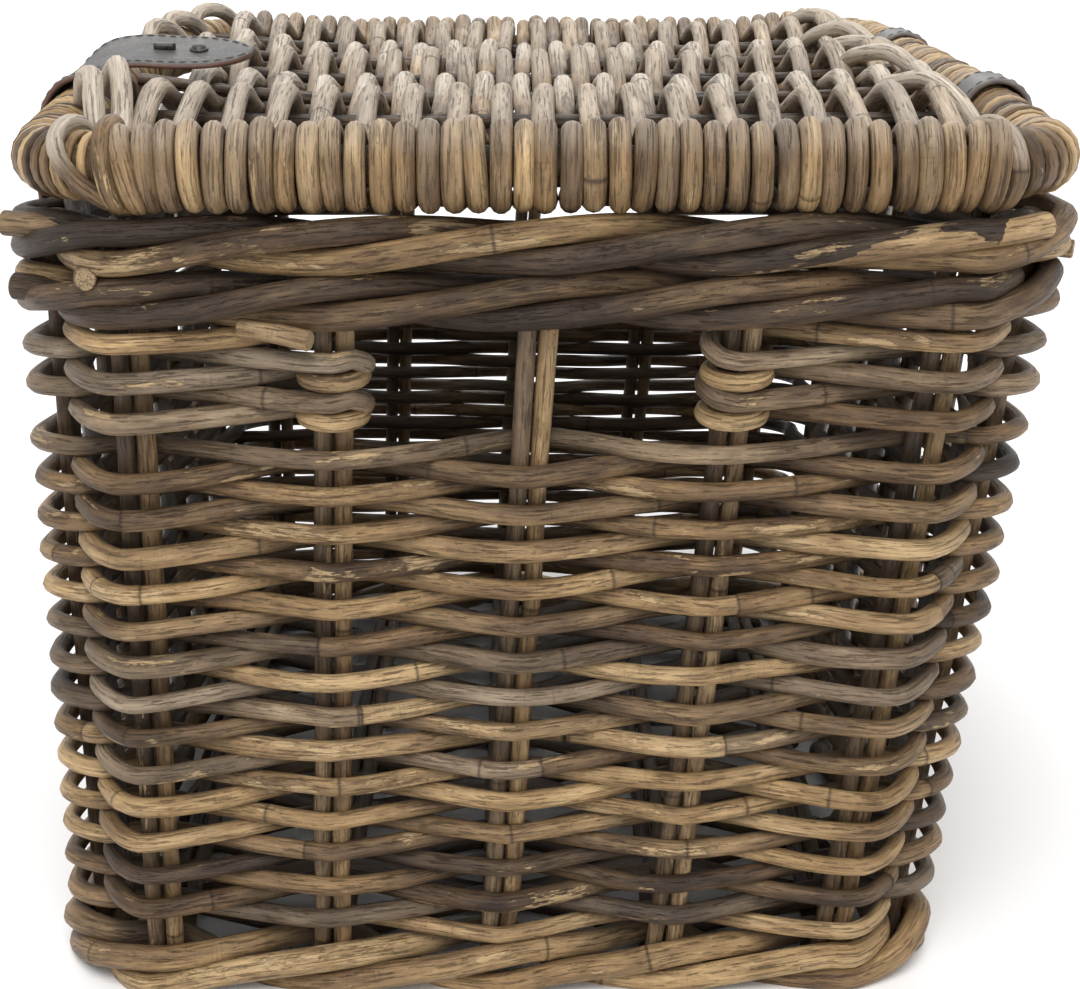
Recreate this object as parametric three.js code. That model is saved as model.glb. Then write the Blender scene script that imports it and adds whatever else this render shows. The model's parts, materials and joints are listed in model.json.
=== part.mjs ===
// Lidded rattan bicycle basket, woven from round cane on paired stakes.
// Millimetres, +Z up. The origin is on the floor, under the middle of the outline.
// +X is the hinge side, -X the strap side, and -Y and +Y are the ends with the hand holes.

import * as THREE from 'three';
import { mergeVertices } from 'three/addons/utils/BufferGeometryUtils.js';

// Driving dimensions of the body
const RIM_LENGTH = 434;        // stake line to stake line, at the top of the wall
const RIM_WIDTH = 346;
const TAPER = 16;              // each wall leans out this far, from the floor to the rim
const BASE_SHIFT = -19;        // the strap side is nearly upright, so the base sits off centre
const CORNER_RADIUS = 30;
const END_PAIRS = 5;           // stake pairs in each end wall
const SIDE_PAIRS = 6;          // stake pairs in each long wall
const STAKE_RADIUS = 3.1;
const PAIR_SPACING = 8;        // between the two canes of a pair

// Weave of the wall
const WEAVER_THICKNESS = 6.2;
const ROW_PITCH = 7.15;
const TURNS = 14;              // turns of each of the two weavers, so twice as many rows
const PIECES_PER_WEAVER = 3;
const HOLE_ROWS = 5;           // rows beside the hand holes
const SMILE = 0.7;             // a weaver sags this far in front of a stake and rises behind it

// Thick rods of the border and the foot, laid as three-rod wales
const BORDER_ROD = 8;
const FOOT_ROD = 9.2;
const FOOT_FLAT = 0.5;         // worn flat under the foot
const FOOT_INSIDE_LIFT = 12;   // the rod behind a stake rides this far above the lowest one

// Base mat
const BASE_WEAVER_THICKNESS = 4.4;
const BASE_WEAVER_WIDTH = 16;
const BASE_ROWS = 14;
const BASE_LIFT = 1.8;         // the mat stands this far off the floor
const BASE_MARGIN = 10;        // from the foot's inner face to the first row of the mat
const RIB_RISE = 7;            // length in which a rib climbs from the foot to the mat

// Lid
const LID_OVERHANG = 13;       // beyond the stake line of the rim, all round
const LID_CORNER = 45;
const LID_GAP = 2.2;           // between the rim and the lid
const FRAME_RADIUS = 7.6;
const CANE_THICKNESS = 6.6;
const CANES = 38;
const LID_EDGE = 30.2;         // bound edge of the lid, on either side of the canes
const CROSS_RODS = 5;
const CROSS_RADIUS = 2.3;
const CROSS_SPACING = 5.4;
const BINDING_THICKNESS = 1.6;
const BINDING_WIDTH = 10;
const BINDING_LOOPS = 16;

// Leather and its fasteners
const LEATHER = 2.2;
const HINGE_WIDTH = 28;
const HINGE_SHARE = 0.46;      // between the two hinge loops, in rim lengths
const HINGE_DROP = 36;         // length of the leaf on the border
const STRAP_WIDTH = 34;
const STRAP_SHARE = -0.25;     // middle of the strap, along the lid, in rim lengths
const STRAP_REACH = 75;        // from the lid's edge to the tip
const TAIL_LENGTH = 52;
const CATCH_LENGTH = 34;
const STUD_RADIUS = 3.6;
const STUD_HEIGHT = 2.4;
const BAR_LENGTH = 8;
const BAR_THICKNESS = 3.4;
const STUD_FROM_TIP = 20;
const BAR_FROM_TIP = 33;
const POST_HEIGHT = 1.2;
const RIVET_RADIUS = 4;

const TIP_SHAPE = [            // of a strap's end: back from the tip and width, in strap widths
  { back: 0, width: 0.4 }, { back: 0.1, width: 0.75 }, { back: 0.3, width: 0.95 },
];
const BAR_SHAPE = [            // of the bar: along it and its width, in lengths and thicknesses
  { along: -0.5, width: 0.6 }, { along: -0.35, width: 1 },
  { along: 0.35, width: 1 }, { along: 0.5, width: 0.6 },
];
const DOME = { rim: 0.3, shoulderRadius: 0.6, shoulder: 0.85 };  // of a stud, in its height and radius

const GAP = 0.3;               // between pieces that touch
const BUTT = 2.4;              // between two canes that meet end to end
const ROD_SIDES = 5;           // facets of a round cane
const FRAME_SIDES = 8;
const STUD_SIDES = 10;
const OCTAGON = Math.tan(Math.PI / 8);  // half a side of an octagon, over the distance to its middle

const basket = new THREE.Group();
const cane = new THREE.MeshStandardMaterial({ color: 0x9c8158, roughness: 0.7, metalness: 0 });
const border = new THREE.MeshStandardMaterial({ color: 0xa88a5a, roughness: 0.65, metalness: 0 });
const bleached = new THREE.MeshStandardMaterial({ color: 0xb3a692, roughness: 0.8, metalness: 0 });
const darkCane = new THREE.MeshStandardMaterial({ color: 0x57493a, roughness: 0.75, metalness: 0 });
const leather = new THREE.MeshStandardMaterial({ color: 0x3c3d40, roughness: 0.6, metalness: 0 });
const metal = new THREE.MeshStandardMaterial({ color: 0x2e2c2a, roughness: 0.4, metalness: 0.8 });

const UP = new THREE.Vector3(0, 0, 1);
const vec = (x, y, z) => new THREE.Vector3(x, y, z);

function addPart(name, geometry, material) {
  const mesh = new THREE.Mesh(geometry, material);
  mesh.name = name;
  basket.add(mesh);
}

// Sections of the canes, as points [across, up], anticlockwise
const rectangle = (width, height) => [
  [-width / 2, -height / 2], [width / 2, -height / 2], [width / 2, height / 2], [-width / 2, height / 2],
];

function polygon(radius, sides) {
  const points = [];
  for (let i = 0; i < sides; i += 1) {
    const angle = -Math.PI / 2 + Math.PI * (2 * i + 1) / sides;
    points.push([radius * Math.cos(angle), radius * Math.sin(angle)]);
  }
  return points;
}

// A cane: a section carried along a run of points and mitred at each of them.
// up(i) is the direction that stays upwards in the section along stretch i, and
// width(i) narrows the section at point i.
function caneAlong(points, section, { up = () => UP, closed = false, width = () => 1 } = {}) {
  const count = points.length;
  const stretches = closed ? count : count - 1;
  const frames = [];
  for (let i = 0; i < stretches; i += 1) {
    const along = points[(i + 1) % count].clone().sub(points[i]).normalize();
    const across = up(i).clone().cross(along).normalize();
    frames.push({ along, across, upward: along.clone().cross(across) });
  }
  const positions = [];
  for (let i = 0; i < count; i += 1) {
    const into = frames[closed ? (i + count - 1) % count : Math.max(i - 1, 0)];
    const out = frames[closed ? i : Math.min(i, stretches - 1)];
    const mitre = into.along.clone().add(out.along).normalize();
    const armOf = ({ along, across, upward }, a, b) => {
      const arm = across.clone().multiplyScalar(a).addScaledVector(upward, b);
      return arm.addScaledVector(along, -arm.dot(mitre) / along.dot(mitre));
    };
    for (const [a, b] of section) {
      const arm = armOf(into, a * width(i), b).add(armOf(out, a * width(i), b));
      positions.push(...points[i].clone().addScaledVector(arm, 0.5).toArray());
    }
  }
  const sides = section.length;
  const triangles = [];
  for (let i = 0; i < stretches; i += 1) {
    const here = i * sides;
    const next = ((i + 1) % count) * sides;
    for (let j = 0; j < sides; j += 1) {
      const k = (j + 1) % sides;
      const upperHalf = 2 * j >= sides;
      if (upperHalf) triangles.push(here + j, here + k, next + j, here + k, next + k, next + j);
      else triangles.push(here + j, here + k, next + k, here + j, next + k, next + j);
    }
  }
  for (let j = 1; !closed && j < sides - 1; j += 1) {
    const last = (count - 1) * sides;
    triangles.push(0, j + 1, j, last, last + j, last + j + 1);
  }
  const geometry = new THREE.BufferGeometry();
  geometry.setAttribute('position', new THREE.Float32BufferAttribute(positions, 3));
  geometry.setIndex(triangles);
  return geometry;
}

// Two canes side by side: one cane folded double at the end of its run
function foldedPair(points, lateral, spacing, radius) {
  const half = lateral.clone().multiplyScalar(spacing / 2);
  const there = points.map((p) => p.clone().add(half));
  const back = points.map((p) => p.clone().sub(half)).reverse();
  const run = [...there, ...back];
  const fold = points.length - 1;
  const facing = (i) => {
    const stretch = Math.min(i, fold - 1, run.length - 2 - i);
    return lateral.clone().cross(points[stretch + 1].clone().sub(points[stretch]));
  };
  return caneAlong(run, polygon(radius, ROD_SIDES), { up: facing });
}

// Places round the wall: the stake pairs, with a corner between the walls.
// lead is +1 just before a corner and -1 just after it.
const STATIONS = 2 * (END_PAIRS + SIDE_PAIRS);

function wallPlaces() {
  const walls = [
    { pairs: END_PAIRS, normal: vec(0, -1, 0) },
    { pairs: SIDE_PAIRS, normal: vec(1, 0, 0) },
    { pairs: END_PAIRS, normal: vec(0, 1, 0) },
    { pairs: SIDE_PAIRS, normal: vec(-1, 0, 0) },
  ];
  const places = [];
  let station = 0;
  walls.forEach(({ pairs, normal }, w) => {
    for (let i = 0; i < pairs; i += 1) {
      const lead = i === pairs - 1 ? 1 : (i === 0 ? -1 : 0);
      places.push({ normal, station, lead, share: 2 * i / (pairs - 1) - 1, corner: false });
      station += 1;
    }
    const turned = normal.clone().add(walls[(w + 1) % walls.length].normal).normalize();
    places.push({ normal: turned, station: station - 0.5, lead: 0, share: 0, corner: true });
  });
  return places;
}

const PLACES = wallPlaces();

// The rods of a wale cross on a slant, so the upper line lies over one thickness higher
const WALE_SLANT_RATIO = 1.21;
const waleLift = (rod) => WALE_SLANT_RATIO * rod;

// Heights, from the floor up
const footLow = FOOT_ROD / 2 * Math.cos(Math.PI / ROD_SIDES) - FOOT_FLAT;
const footUp = footLow + waleLift(FOOT_ROD);
const footIn = footLow + FOOT_INSIDE_LIFT;
const firstRow = Math.max(footUp + SMILE, footIn - SMILE) + (FOOT_ROD + WEAVER_THICKNESS) / 2 + GAP;
const lastRow = firstRow + 2 * ROW_PITCH * TURNS;
const holeFirst = lastRow + ROW_PITCH;
const holeLast = holeFirst + ROW_PITCH * (HOLE_ROWS - 1);
const upperLow = holeLast + SMILE + (WEAVER_THICKNESS + BORDER_ROD) / 2 + GAP;
const upperUp = upperLow + waleLift(BORDER_ROD);
const rimLow = upperUp + waleLift(BORDER_ROD);
const rimUp = rimLow + waleLift(BORDER_ROD);
const rimTop = rimUp + BORDER_ROD / 2;
const stakeTop = rimTop - STAKE_RADIUS - GAP;

// The stake line at height z: half sizes and how far its middle is off centre
function wallAt(z) {
  const below = 1 - z / rimTop;
  return {
    halfX: RIM_WIDTH / 2 - TAPER * below,
    halfY: RIM_LENGTH / 2 - TAPER * below,
    middleX: BASE_SHIFT * below,
  };
}

// A point at a place, at height z, so far outside the stake line and so far along the wall
function pointAt(place, z, outside, along = 0) {
  const { halfX, halfY, middleX } = wallAt(z);
  const straightX = halfX - CORNER_RADIUS;
  const straightY = halfY - CORNER_RADIUS;
  const { normal, share } = place;
  const tangent = UP.clone().cross(normal);
  const point = vec(middleX, 0, z);
  if (place.corner) {
    point.add(vec(Math.sign(normal.x) * straightX, Math.sign(normal.y) * straightY, 0));
    point.addScaledVector(normal, CORNER_RADIUS);
  } else {
    point.add(vec(normal.x * halfX, normal.y * halfY, 0));
    point.addScaledVector(tangent, share * (normal.x === 0 ? straightX : straightY));
  }
  return point.addScaledVector(normal, outside).addScaledVector(tangent, along);
}

const placeOf = (station) => PLACES.find((p) => p.station === station);

// How far a cane of this thickness stands off the stake line to clear a pair at mid wall,
// and beside a corner, where it turns sharply
const PAIR_EASE_RATIO = 0.855;
const standOff = (thickness) => (STAKE_RADIUS + thickness / 2 + GAP) / PAIR_EASE_RATIO;
const CORNER_EASE_RATIO = 0.7;
const CORNER_LEAD = 6;
const WALE_LEAD = 8;

const weaverOut = standOff(WEAVER_THICKNESS);
const weaverCornerOut = (STAKE_RADIUS + WEAVER_THICKNESS / 2 + GAP) / CORNER_EASE_RATIO;

// A weaver's point at a station, in front of the stakes or behind them
function weaverPoint(place, z, inFront, along = 0) {
  const sign = inFront ? 1 : -1;
  const out = place.lead === 0 ? weaverOut : weaverCornerOut;
  return pointAt(place, z - sign * SMILE, sign * out, place.lead * CORNER_LEAD + along);
}

// Wall weavers: two canes chase each other round and up the wall, each in front of every
// other pair. Each is laid in several lengths, which meet behind a stake.
function wallWeavers() {
  const section = rectangle(WEAVER_THICKNESS, WEAVER_THICKNESS);
  ['a', 'b'].forEach((letter, family) => {
    const start = family * STATIONS / 2;
    const heightAt = (n) => firstRow + 2 * ROW_PITCH * (n - start) / STATIONS;
    const inFrontAt = (n) => (n + family) % 2 === 0;
    const placeAt = (n) => placeOf(n % STATIONS);
    const joinNear = (n, step) => {
      let join = Math.round(n);
      while (inFrontAt(join) || placeAt(join).lead !== 0) join += step;
      return join;
    };
    const total = STATIONS * TURNS;
    let from = joinNear(start, 1);
    for (let piece = 1; piece <= PIECES_PER_WEAVER; piece += 1) {
      const to = joinNear(start + total * piece / PIECES_PER_WEAVER, -1);
      const points = [];
      for (let n = from; n <= to; n += 1) {
        const place = placeAt(n);
        const along = n === from ? BUTT / 2 : (n === to ? -BUTT / 2 : 0);
        points.push(weaverPoint(place, heightAt(n), inFrontAt(n), along));
        if (place.lead === 1 && n < to) {
          const corner = PLACES[PLACES.indexOf(place) + 1];
          points.push(pointAt(corner, heightAt(n + 0.5), 0));
        }
      }
      addPart(`weaver_${letter}${piece}`, caneAlong(points, section), cane);
      from = to;
    }
  });
}

// A cane that turns back round the outer stake of a pair: how far along, how far out and how
// far up towards the next row it goes, for a cane of this thickness
const TURN_RISE_SHARE = 0.35;
function turnRound(thickness) {
  const reach = STAKE_RADIUS + thickness / 2 + 2 * GAP;
  const slant = reach * OCTAGON;
  const stake = PAIR_SPACING / 2;
  return [
    { along: stake + slant, out: reach, rise: 0 },
    { along: stake + reach, out: slant, rise: TURN_RISE_SHARE },
    { along: stake + reach, out: -slant, rise: 1 - TURN_RISE_SHARE },
    { along: stake + slant, out: -reach, rise: 1 },
  ];
}

// Beside the hand holes one cane goes back and forth round each long wall, and turns back
// round the pairs that edge the holes
function holeWeavers() {
  const middle = (END_PAIRS - 1) / 2;
  const edge = Math.floor(middle) - 1;
  const section = rectangle(WEAVER_THICKNESS, WEAVER_THICKNESS);
  const turn = turnRound(WEAVER_THICKNESS);
  const sides = [
    { name: 'hole_weaver_right', first: END_PAIRS - 1 - edge },
    { name: 'hole_weaver_left', first: 2 * END_PAIRS + SIDE_PAIRS - 1 - edge },
  ];
  for (const { name, first } of sides) {
    const last = first + SIDE_PAIRS + 2 * edge + 1;
    const points = [];
    for (let row = 0; row < HOLE_ROWS; row += 1) {
      const z = holeFirst + row * ROW_PITCH;
      const forward = row % 2 === 0;
      for (let step = first; step <= last; step += 1) {
        const n = forward ? step : first + last - step;
        const place = placeOf(n % STATIONS);
        const inFront = (n + row) % 2 === 0;
        if (step > first) {
          const before = placeOf((forward ? n - 1 : n) % STATIONS);
          const corner = PLACES[PLACES.indexOf(before) + 1];
          if (corner.corner) points.push(pointAt(corner, z, 0));
        }
        points.push(weaverPoint(place, z, inFront));
      }
      if (row < HOLE_ROWS - 1) {
        const n = forward ? last : first;
        const outwards = (n + row) % 2 === 0 ? 1 : -1;
        for (const { along, out, rise } of turn) {
          const ahead = forward ? along : -along;
          points.push(pointAt(placeOf(n % STATIONS), z + rise * ROW_PITCH, outwards * out, ahead));
        }
      }
    }
    addPart(name, caneAlong(points, section), cane);
  }
}

// Three-rod wale: each rod goes in front of two pairs, rising from the lower to the upper
// line, and behind the third. The rods' ends meet before the last pair of the strap side.
function wale(name, rod, low, upper, inside, flatFoot) {
  const LOW = 0;
  const BEHIND = 2;
  const out = standOff(rod);
  const section = polygon(rod / 2, ROD_SIDES);
  const first = STATIONS - 1;
  const placeAt = (n) => placeOf(n % STATIONS);
  for (let j = 0; j < 3; j += 1) {
    const phaseAt = (n) => (n - j + 3) % 3;
    // The middle of the stretch from pair n to the next, on the straight or at a corner
    const linkAfter = (n, along = 0) => {
      const phase = phaseAt(n);
      const z = [(low + upper) / 2, upper, low][phase];
      const stand = phase === LOW ? out : 0;
      const place = placeAt(n);
      const next = PLACES[(PLACES.indexOf(place) + 1) % PLACES.length];
      if (next.corner) return pointAt(next, z, stand);
      return pointAt(place, z, stand, along).add(pointAt(next, z, stand, along)).multiplyScalar(0.5);
    };
    const points = [linkAfter(first - 1, BUTT / 2)];
    for (let n = first; n < first + STATIONS; n += 1) {
      const place = placeAt(n);
      const phase = phaseAt(n);
      const z = [low, upper, inside][phase];
      const stand = phase === BEHIND ? -out : out;
      const lead = phase === BEHIND ? 0 : place.lead * WALE_LEAD;
      if (lead < 0) points.push(pointAt(place, z, stand, lead));
      points.push(pointAt(place, z, stand));
      if (lead > 0) points.push(pointAt(place, z, stand, lead));
      const atEnd = n === first + STATIONS - 1;
      const staysOut = phase === LOW && place.lead !== 1;
      if (atEnd) points.push(linkAfter(n, -BUTT / 2));
      else if (!staysOut) points.push(linkAfter(n));
    }
    const geometry = caneAlong(points, section);
    addPart(`${name}_${j + 1}`, flatFoot ? pressFlat(geometry) : geometry, border);
  }
}

// Presses flat what would reach below the floor
function pressFlat(geometry) {
  const { position } = geometry.attributes;
  for (let i = 0; i < position.count; i += 1) {
    position.setZ(i, Math.max(position.getZ(i), 0));
  }
  return geometry;
}

// Ribs: pairs that run down one end wall, across the base and up the other
const baseOut = standOff(BASE_WEAVER_THICKNESS);
const ribLow = STAKE_RADIUS + 2 * GAP;
const ribHigh = baseOut + BASE_WEAVER_THICKNESS / 2 + BASE_LIFT;
const footInner = standOff(FOOT_ROD) + FOOT_ROD / 2 + GAP;
const RIB_BEND = 6;

function ribs() {
  for (let i = 0; i < END_PAIRS; i += 1) {
    const near = placeOf(i);
    const far = placeOf(2 * END_PAIRS + SIDE_PAIRS - 1 - i);
    const down = (place) => [
      pointAt(place, stakeTop, 0),
      pointAt(place, ribLow + RIB_BEND, 0),
      pointAt(place, ribLow, -RIB_BEND),
      pointAt(place, ribLow, -footInner),
      pointAt(place, ribHigh, -footInner - RIB_RISE),
    ];
    const points = [...down(near), ...down(far).reverse()];
    addPart(`rib_${i + 1}`, foldedPair(points, vec(1, 0, 0), PAIR_SPACING, STAKE_RADIUS), cane);
  }
}

// Stake pairs of the long walls
function sideStakes() {
  for (const [side, first] of [['right', END_PAIRS], ['left', 2 * END_PAIRS + SIDE_PAIRS]]) {
    for (let i = 0; i < SIDE_PAIRS; i += 1) {
      const place = placeOf(first + i);
      const points = [pointAt(place, ribLow, 0), pointAt(place, stakeTop, 0)];
      const pair = foldedPair(points, vec(0, 1, 0), PAIR_SPACING, STAKE_RADIUS);
      addPart(`side_stake_${side}_${i + 1}`, pair, cane);
    }
  }
}

// Base mat: one cane goes back and forth over and under the ribs
function baseMat() {
  const { halfY } = wallAt(ribHigh);
  const reach = halfY - footInner - RIB_RISE - BASE_MARGIN;
  const pitch = 2 * reach / (BASE_ROWS - 1);
  const turn = turnRound(BASE_WEAVER_THICKNESS);
  const ribX = (i) => pointAt(placeOf(i), ribHigh, 0).x;
  const points = [];
  for (let row = 0; row < BASE_ROWS; row += 1) {
    const y = -reach + row * pitch;
    const forward = row % 2 === 0;
    for (let step = 0; step < END_PAIRS; step += 1) {
      const i = forward ? step : END_PAIRS - 1 - step;
      const over = (i + row) % 2 === 0;
      points.push(vec(ribX(i), y, ribHigh + (over ? baseOut : -baseOut)));
    }
    if (row < BASE_ROWS - 1) {
      const end = forward ? END_PAIRS - 1 : 0;
      const upwards = (end + row) % 2 === 0 ? 1 : -1;
      for (const { along, out, rise } of turn) {
        const ahead = forward ? along : -along;
        points.push(vec(ribX(end) + ahead, y + rise * pitch, ribHigh + upwards * out));
      }
    }
  }
  const up = (i) => points[i + 1].clone().sub(points[i]).cross(vec(0, 1, 0));
  const section = rectangle(BASE_WEAVER_WIDTH, BASE_WEAVER_THICKNESS);
  addPart('base_weaver', caneAlong(points, section, { up }), cane);
}

// Lid sizes and heights
const lidLength = RIM_LENGTH + 2 * LID_OVERHANG;
const lidWidth = RIM_WIDTH + 2 * LID_OVERHANG;
const canePitch = (lidWidth - 2 * LID_EDGE) / CANES;
const wrapOut = FRAME_RADIUS + GAP + CANE_THICKNESS / 2;
const CROWN_RATIO = 1.11;      // over the frame a cane stands higher, to clear it on the way down
const crownOut = CROWN_RATIO * wrapOut;
const lidBottom = rimTop + LID_GAP;
const frameZ = lidBottom + wrapOut + CANE_THICKNESS / 2;
const LOOP_SIDES = 6;
const bindingOut = (FRAME_RADIUS + 2 * GAP + BINDING_THICKNESS / 2) / Math.cos(Math.PI / LOOP_SIDES);
const bindingOuter = bindingOut + BINDING_THICKNESS / 2 / Math.cos(Math.PI / LOOP_SIDES);
const frameHalfX = lidWidth / 2 - bindingOuter;
const frameHalfY = lidLength / 2 - wrapOut - CANE_THICKNESS / 2;
const frameCorner = LID_CORNER - bindingOuter;
const CROSS_EASE_RATIO = 0.9;  // a cane clears the cross rods on a slant
const caneStand = (CROSS_RADIUS + CANE_THICKNESS / 2 + GAP) / CROSS_EASE_RATIO;
const crossZ = frameZ + crownOut - caneStand;
const crossPlaces = Array.from({ length: CROSS_RODS },
  (_, k) => frameHalfY * (2 * (k + 1) / (CROSS_RODS + 1) - 1));

// A point of the frame's middle line and the direction out of the lid there, at a
// distance along the right half, measured from the middle of the end nearest -Y
function frameAt(distance) {
  const straightX = frameHalfX - frameCorner;
  const straightY = frameHalfY - frameCorner;
  const arc = frameCorner * Math.PI / 2;
  const bend = (angle, y) => {
    const normal = vec(Math.cos(angle), Math.sin(angle), 0);
    return { point: vec(straightX, y, frameZ).addScaledVector(normal, frameCorner), normal };
  };
  let left = distance - straightX;
  if (left < 0) return { point: vec(distance, -frameHalfY, frameZ), normal: vec(0, -1, 0) };
  if (left < arc) return bend(left / frameCorner - Math.PI / 2, -straightY);
  left -= arc;
  if (left < 2 * straightY) {
    return { point: vec(frameHalfX, left - straightY, frameZ), normal: vec(1, 0, 0) };
  }
  left -= 2 * straightY;
  if (left < arc) return bend(left / frameCorner, straightY);
  return { point: vec(straightX + arc - left, frameHalfY, frameZ), normal: vec(0, 1, 0) };
}

const frameHalfRun = 2 * (frameHalfX + frameHalfY - 2 * frameCorner) + Math.PI * frameCorner;

function lidFrame() {
  const straightX = frameHalfX - frameCorner;
  const straightY = frameHalfY - frameCorner;
  const CORNER_STEPS = 4;
  const points = [];
  for (let quarter = 0; quarter < 4; quarter += 1) {
    for (let step = 0; step <= CORNER_STEPS; step += 1) {
      const angle = (quarter - 1 + step / CORNER_STEPS) * Math.PI / 2;
      const x = quarter === 0 || quarter === 1 ? straightX : -straightX;
      const y = quarter === 1 || quarter === 2 ? straightY : -straightY;
      const out = vec(Math.cos(angle), Math.sin(angle), 0);
      points.push(vec(x, y, frameZ).addScaledVector(out, frameCorner));
    }
  }
  addPart('lid_frame', caneAlong(points, polygon(FRAME_RADIUS, FRAME_SIDES), { closed: true }), darkCane);
}

function lidCrossRods() {
  const reach = frameHalfX - bindingOuter - CROSS_RADIUS - GAP;
  crossPlaces.forEach((y, k) => {
    const points = [vec(-reach, y, crossZ), vec(reach, y, crossZ)];
    const rods = foldedPair(points, vec(0, 1, 0), CROSS_SPACING, CROSS_RADIUS);
    addPart(`lid_cross_rod_${k + 1}`, rods, darkCane);
  });
}

// Lid canes: each half of the lid is one cane that goes to and fro, over and under the cross
// rods, and wraps over the frame at both ends before it turns back beneath
function lidCanes() {
  const slant = wrapOut * OCTAGON;
  const wrap = [[slant, crownOut], [wrapOut, slant], [wrapOut, -slant], [slant, -wrapOut]];
  const half = CANES / 2;
  const section = rectangle(CANE_THICKNESS, CANE_THICKNESS);
  ['left', 'right'].forEach((side, s) => {
    const points = [];
    for (let c = 0; c < half; c += 1) {
      const index = s * half + c;
      const x = (index - (CANES - 1) / 2) * canePitch;
      const run = [];
      for (const [out, height] of [...wrap].reverse()) run.push(vec(x, -frameHalfY - out, frameZ + height));
      crossPlaces.forEach((y, k) => {
        const over = (index + k) % 2 === 0;
        run.push(vec(x, y, crossZ + (over ? caneStand : -caneStand)));
      });
      for (const [out, height] of wrap) run.push(vec(x, frameHalfY + out, frameZ + height));
      points.push(...(c % 2 === 0 ? run : run.reverse()));
    }
    const perCane = 2 * wrap.length + CROSS_RODS;
    const up = (i) => {
      const turnsBack = i % perCane === perCane - 1;
      const sign = Math.floor(i / perCane) % 2 === 0 ? 1 : -1;
      if (turnsBack) return points[i - 1].clone().sub(points[i]).multiplyScalar(sign);
      return vec(sign, 0, 0);
    };
    addPart(`lid_cane_${side}`, caneAlong(points, section, { up }), bleached);
  });
}

// The least gap between the turns of a winding, from the points of its middle line
function leastGap(points, perTurn, width) {
  let least = Infinity;
  for (let i = 0; i < points.length; i += 1) {
    for (let k = i + perTurn - 1; k < points.length; k += 1) {
      least = Math.min(least, points[i].distanceTo(points[k]) - width);
    }
  }
  return least;
}

// Bindings: a flat strip wound round the frame along each long edge and its corners
function lidBindings() {
  const inset = canePitch * CANES / 2 + BINDING_WIDTH;
  const length = frameHalfRun - 2 * inset;
  const section = rectangle(BINDING_WIDTH, BINDING_THICKNESS);
  for (const [name, mirror] of [['lid_binding_right', 1], ['lid_binding_left', -1]]) {
    const points = [];
    const radials = [];
    const steps = BINDING_LOOPS * LOOP_SIDES;
    for (let i = 0; i <= steps; i += 1) {
      const { point, normal } = frameAt(inset + length * i / steps);
      const angle = -mirror * Math.PI * (2 * i + 1) / LOOP_SIDES;
      const radial = normal.clone().multiplyScalar(Math.cos(angle)).addScaledVector(UP, Math.sin(angle));
      points.push(point.clone().addScaledVector(radial, bindingOut));
      radials.push(radial);
    }
    if (mirror < 0) {
      for (const p of [...points, ...radials]) p.x = -p.x;
    }
    const up = (i) => radials[i].clone().add(radials[i + 1]);
    addPart(name, caneAlong(points, section, { up }), darkCane);
    const gap = leastGap(points, LOOP_SIDES, BINDING_WIDTH);
    console.log(`${name}: least gap between turns ${gap.toFixed(2)} mm`);
  }
}

// Leather strip of this width along a run of points in a plane across the lid
function leatherStrip(run, y, width, narrow) {
  const points = run.map(([x, z]) => vec(x, y, z));
  const facing = (i) => points[i + 1].clone().sub(points[i]).cross(vec(0, 1, 0));
  return caneAlong(points, rectangle(width, LEATHER), { up: facing, width: narrow });
}

// A low domed head, its flat side on a face and its axis along direction
function stud(radius, height, base, direction) {
  const profile = [
    [0, 0], [radius, 0], [radius, height * DOME.rim],
    [radius * DOME.shoulderRadius, height * DOME.shoulder], [0, height],
  ];
  const geometry = new THREE.LatheGeometry(profile.map(([r, h]) => new THREE.Vector2(r, h)), STUD_SIDES);
  geometry.applyQuaternion(new THREE.Quaternion().setFromUnitVectors(vec(0, 1, 0), direction));
  return mergeVertices(geometry.translate(base.x, base.y, base.z).deleteAttribute('uv'));
}

// Leather hinges: a loop round the lid's frame, and a leaf on the border, which meet at the
// hinge line
const loopOut = bindingOuter + GAP + LEATHER / 2;
const leatherOut = standOff(BORDER_ROD) + BORDER_ROD / 2 + GAP + LEATHER / 2;
const hingeZ = rimTop + LID_GAP / 2;
const hingeSpacing = HINGE_SHARE * RIM_LENGTH;
const strapPlace = STRAP_SHARE * RIM_LENGTH;

function hinges() {
  const slant = loopOut * OCTAGON;
  const x = frameHalfX;
  const z = frameZ;
  const loop = [
    [x + loopOut, hingeZ + GAP], [x + loopOut, z + slant],
    [x + slant, z + loopOut], [x - slant, z + loopOut],
    [x - loopOut, z + slant], [x - loopOut, z - slant],
    [x - slant, z - loopOut], [x + slant / 2, z - loopOut],
  ];
  const faceAt = (height) => wallAt(height).middleX + wallAt(height).halfX + leatherOut;
  const shoulder = rimUp;
  const foot = hingeZ - HINGE_DROP;
  const leaf = [[x + loopOut, hingeZ - GAP], [faceAt(shoulder), shoulder], [faceAt(foot), foot]];
  for (const [name, y] of [['near', -hingeSpacing / 2], ['far', hingeSpacing / 2]]) {
    addPart(`hinge_loop_${name}`, leatherStrip(loop, y, HINGE_WIDTH), leather);
    addPart(`hinge_leaf_${name}`, leatherStrip(leaf, y, HINGE_WIDTH), leather);
    const rivetZ = (shoulder + foot) / 2;
    const outwards = vec(shoulder - foot, 0, faceAt(foot) - faceAt(shoulder)).normalize();
    const seat = vec(faceAt(rivetZ), y, rivetZ).addScaledVector(outwards, LEATHER / 2 + GAP);
    addPart(`hinge_rivet_${name}`, stud(RIVET_RADIUS, STUD_HEIGHT, seat, outwards), metal);
  }
}

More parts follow.
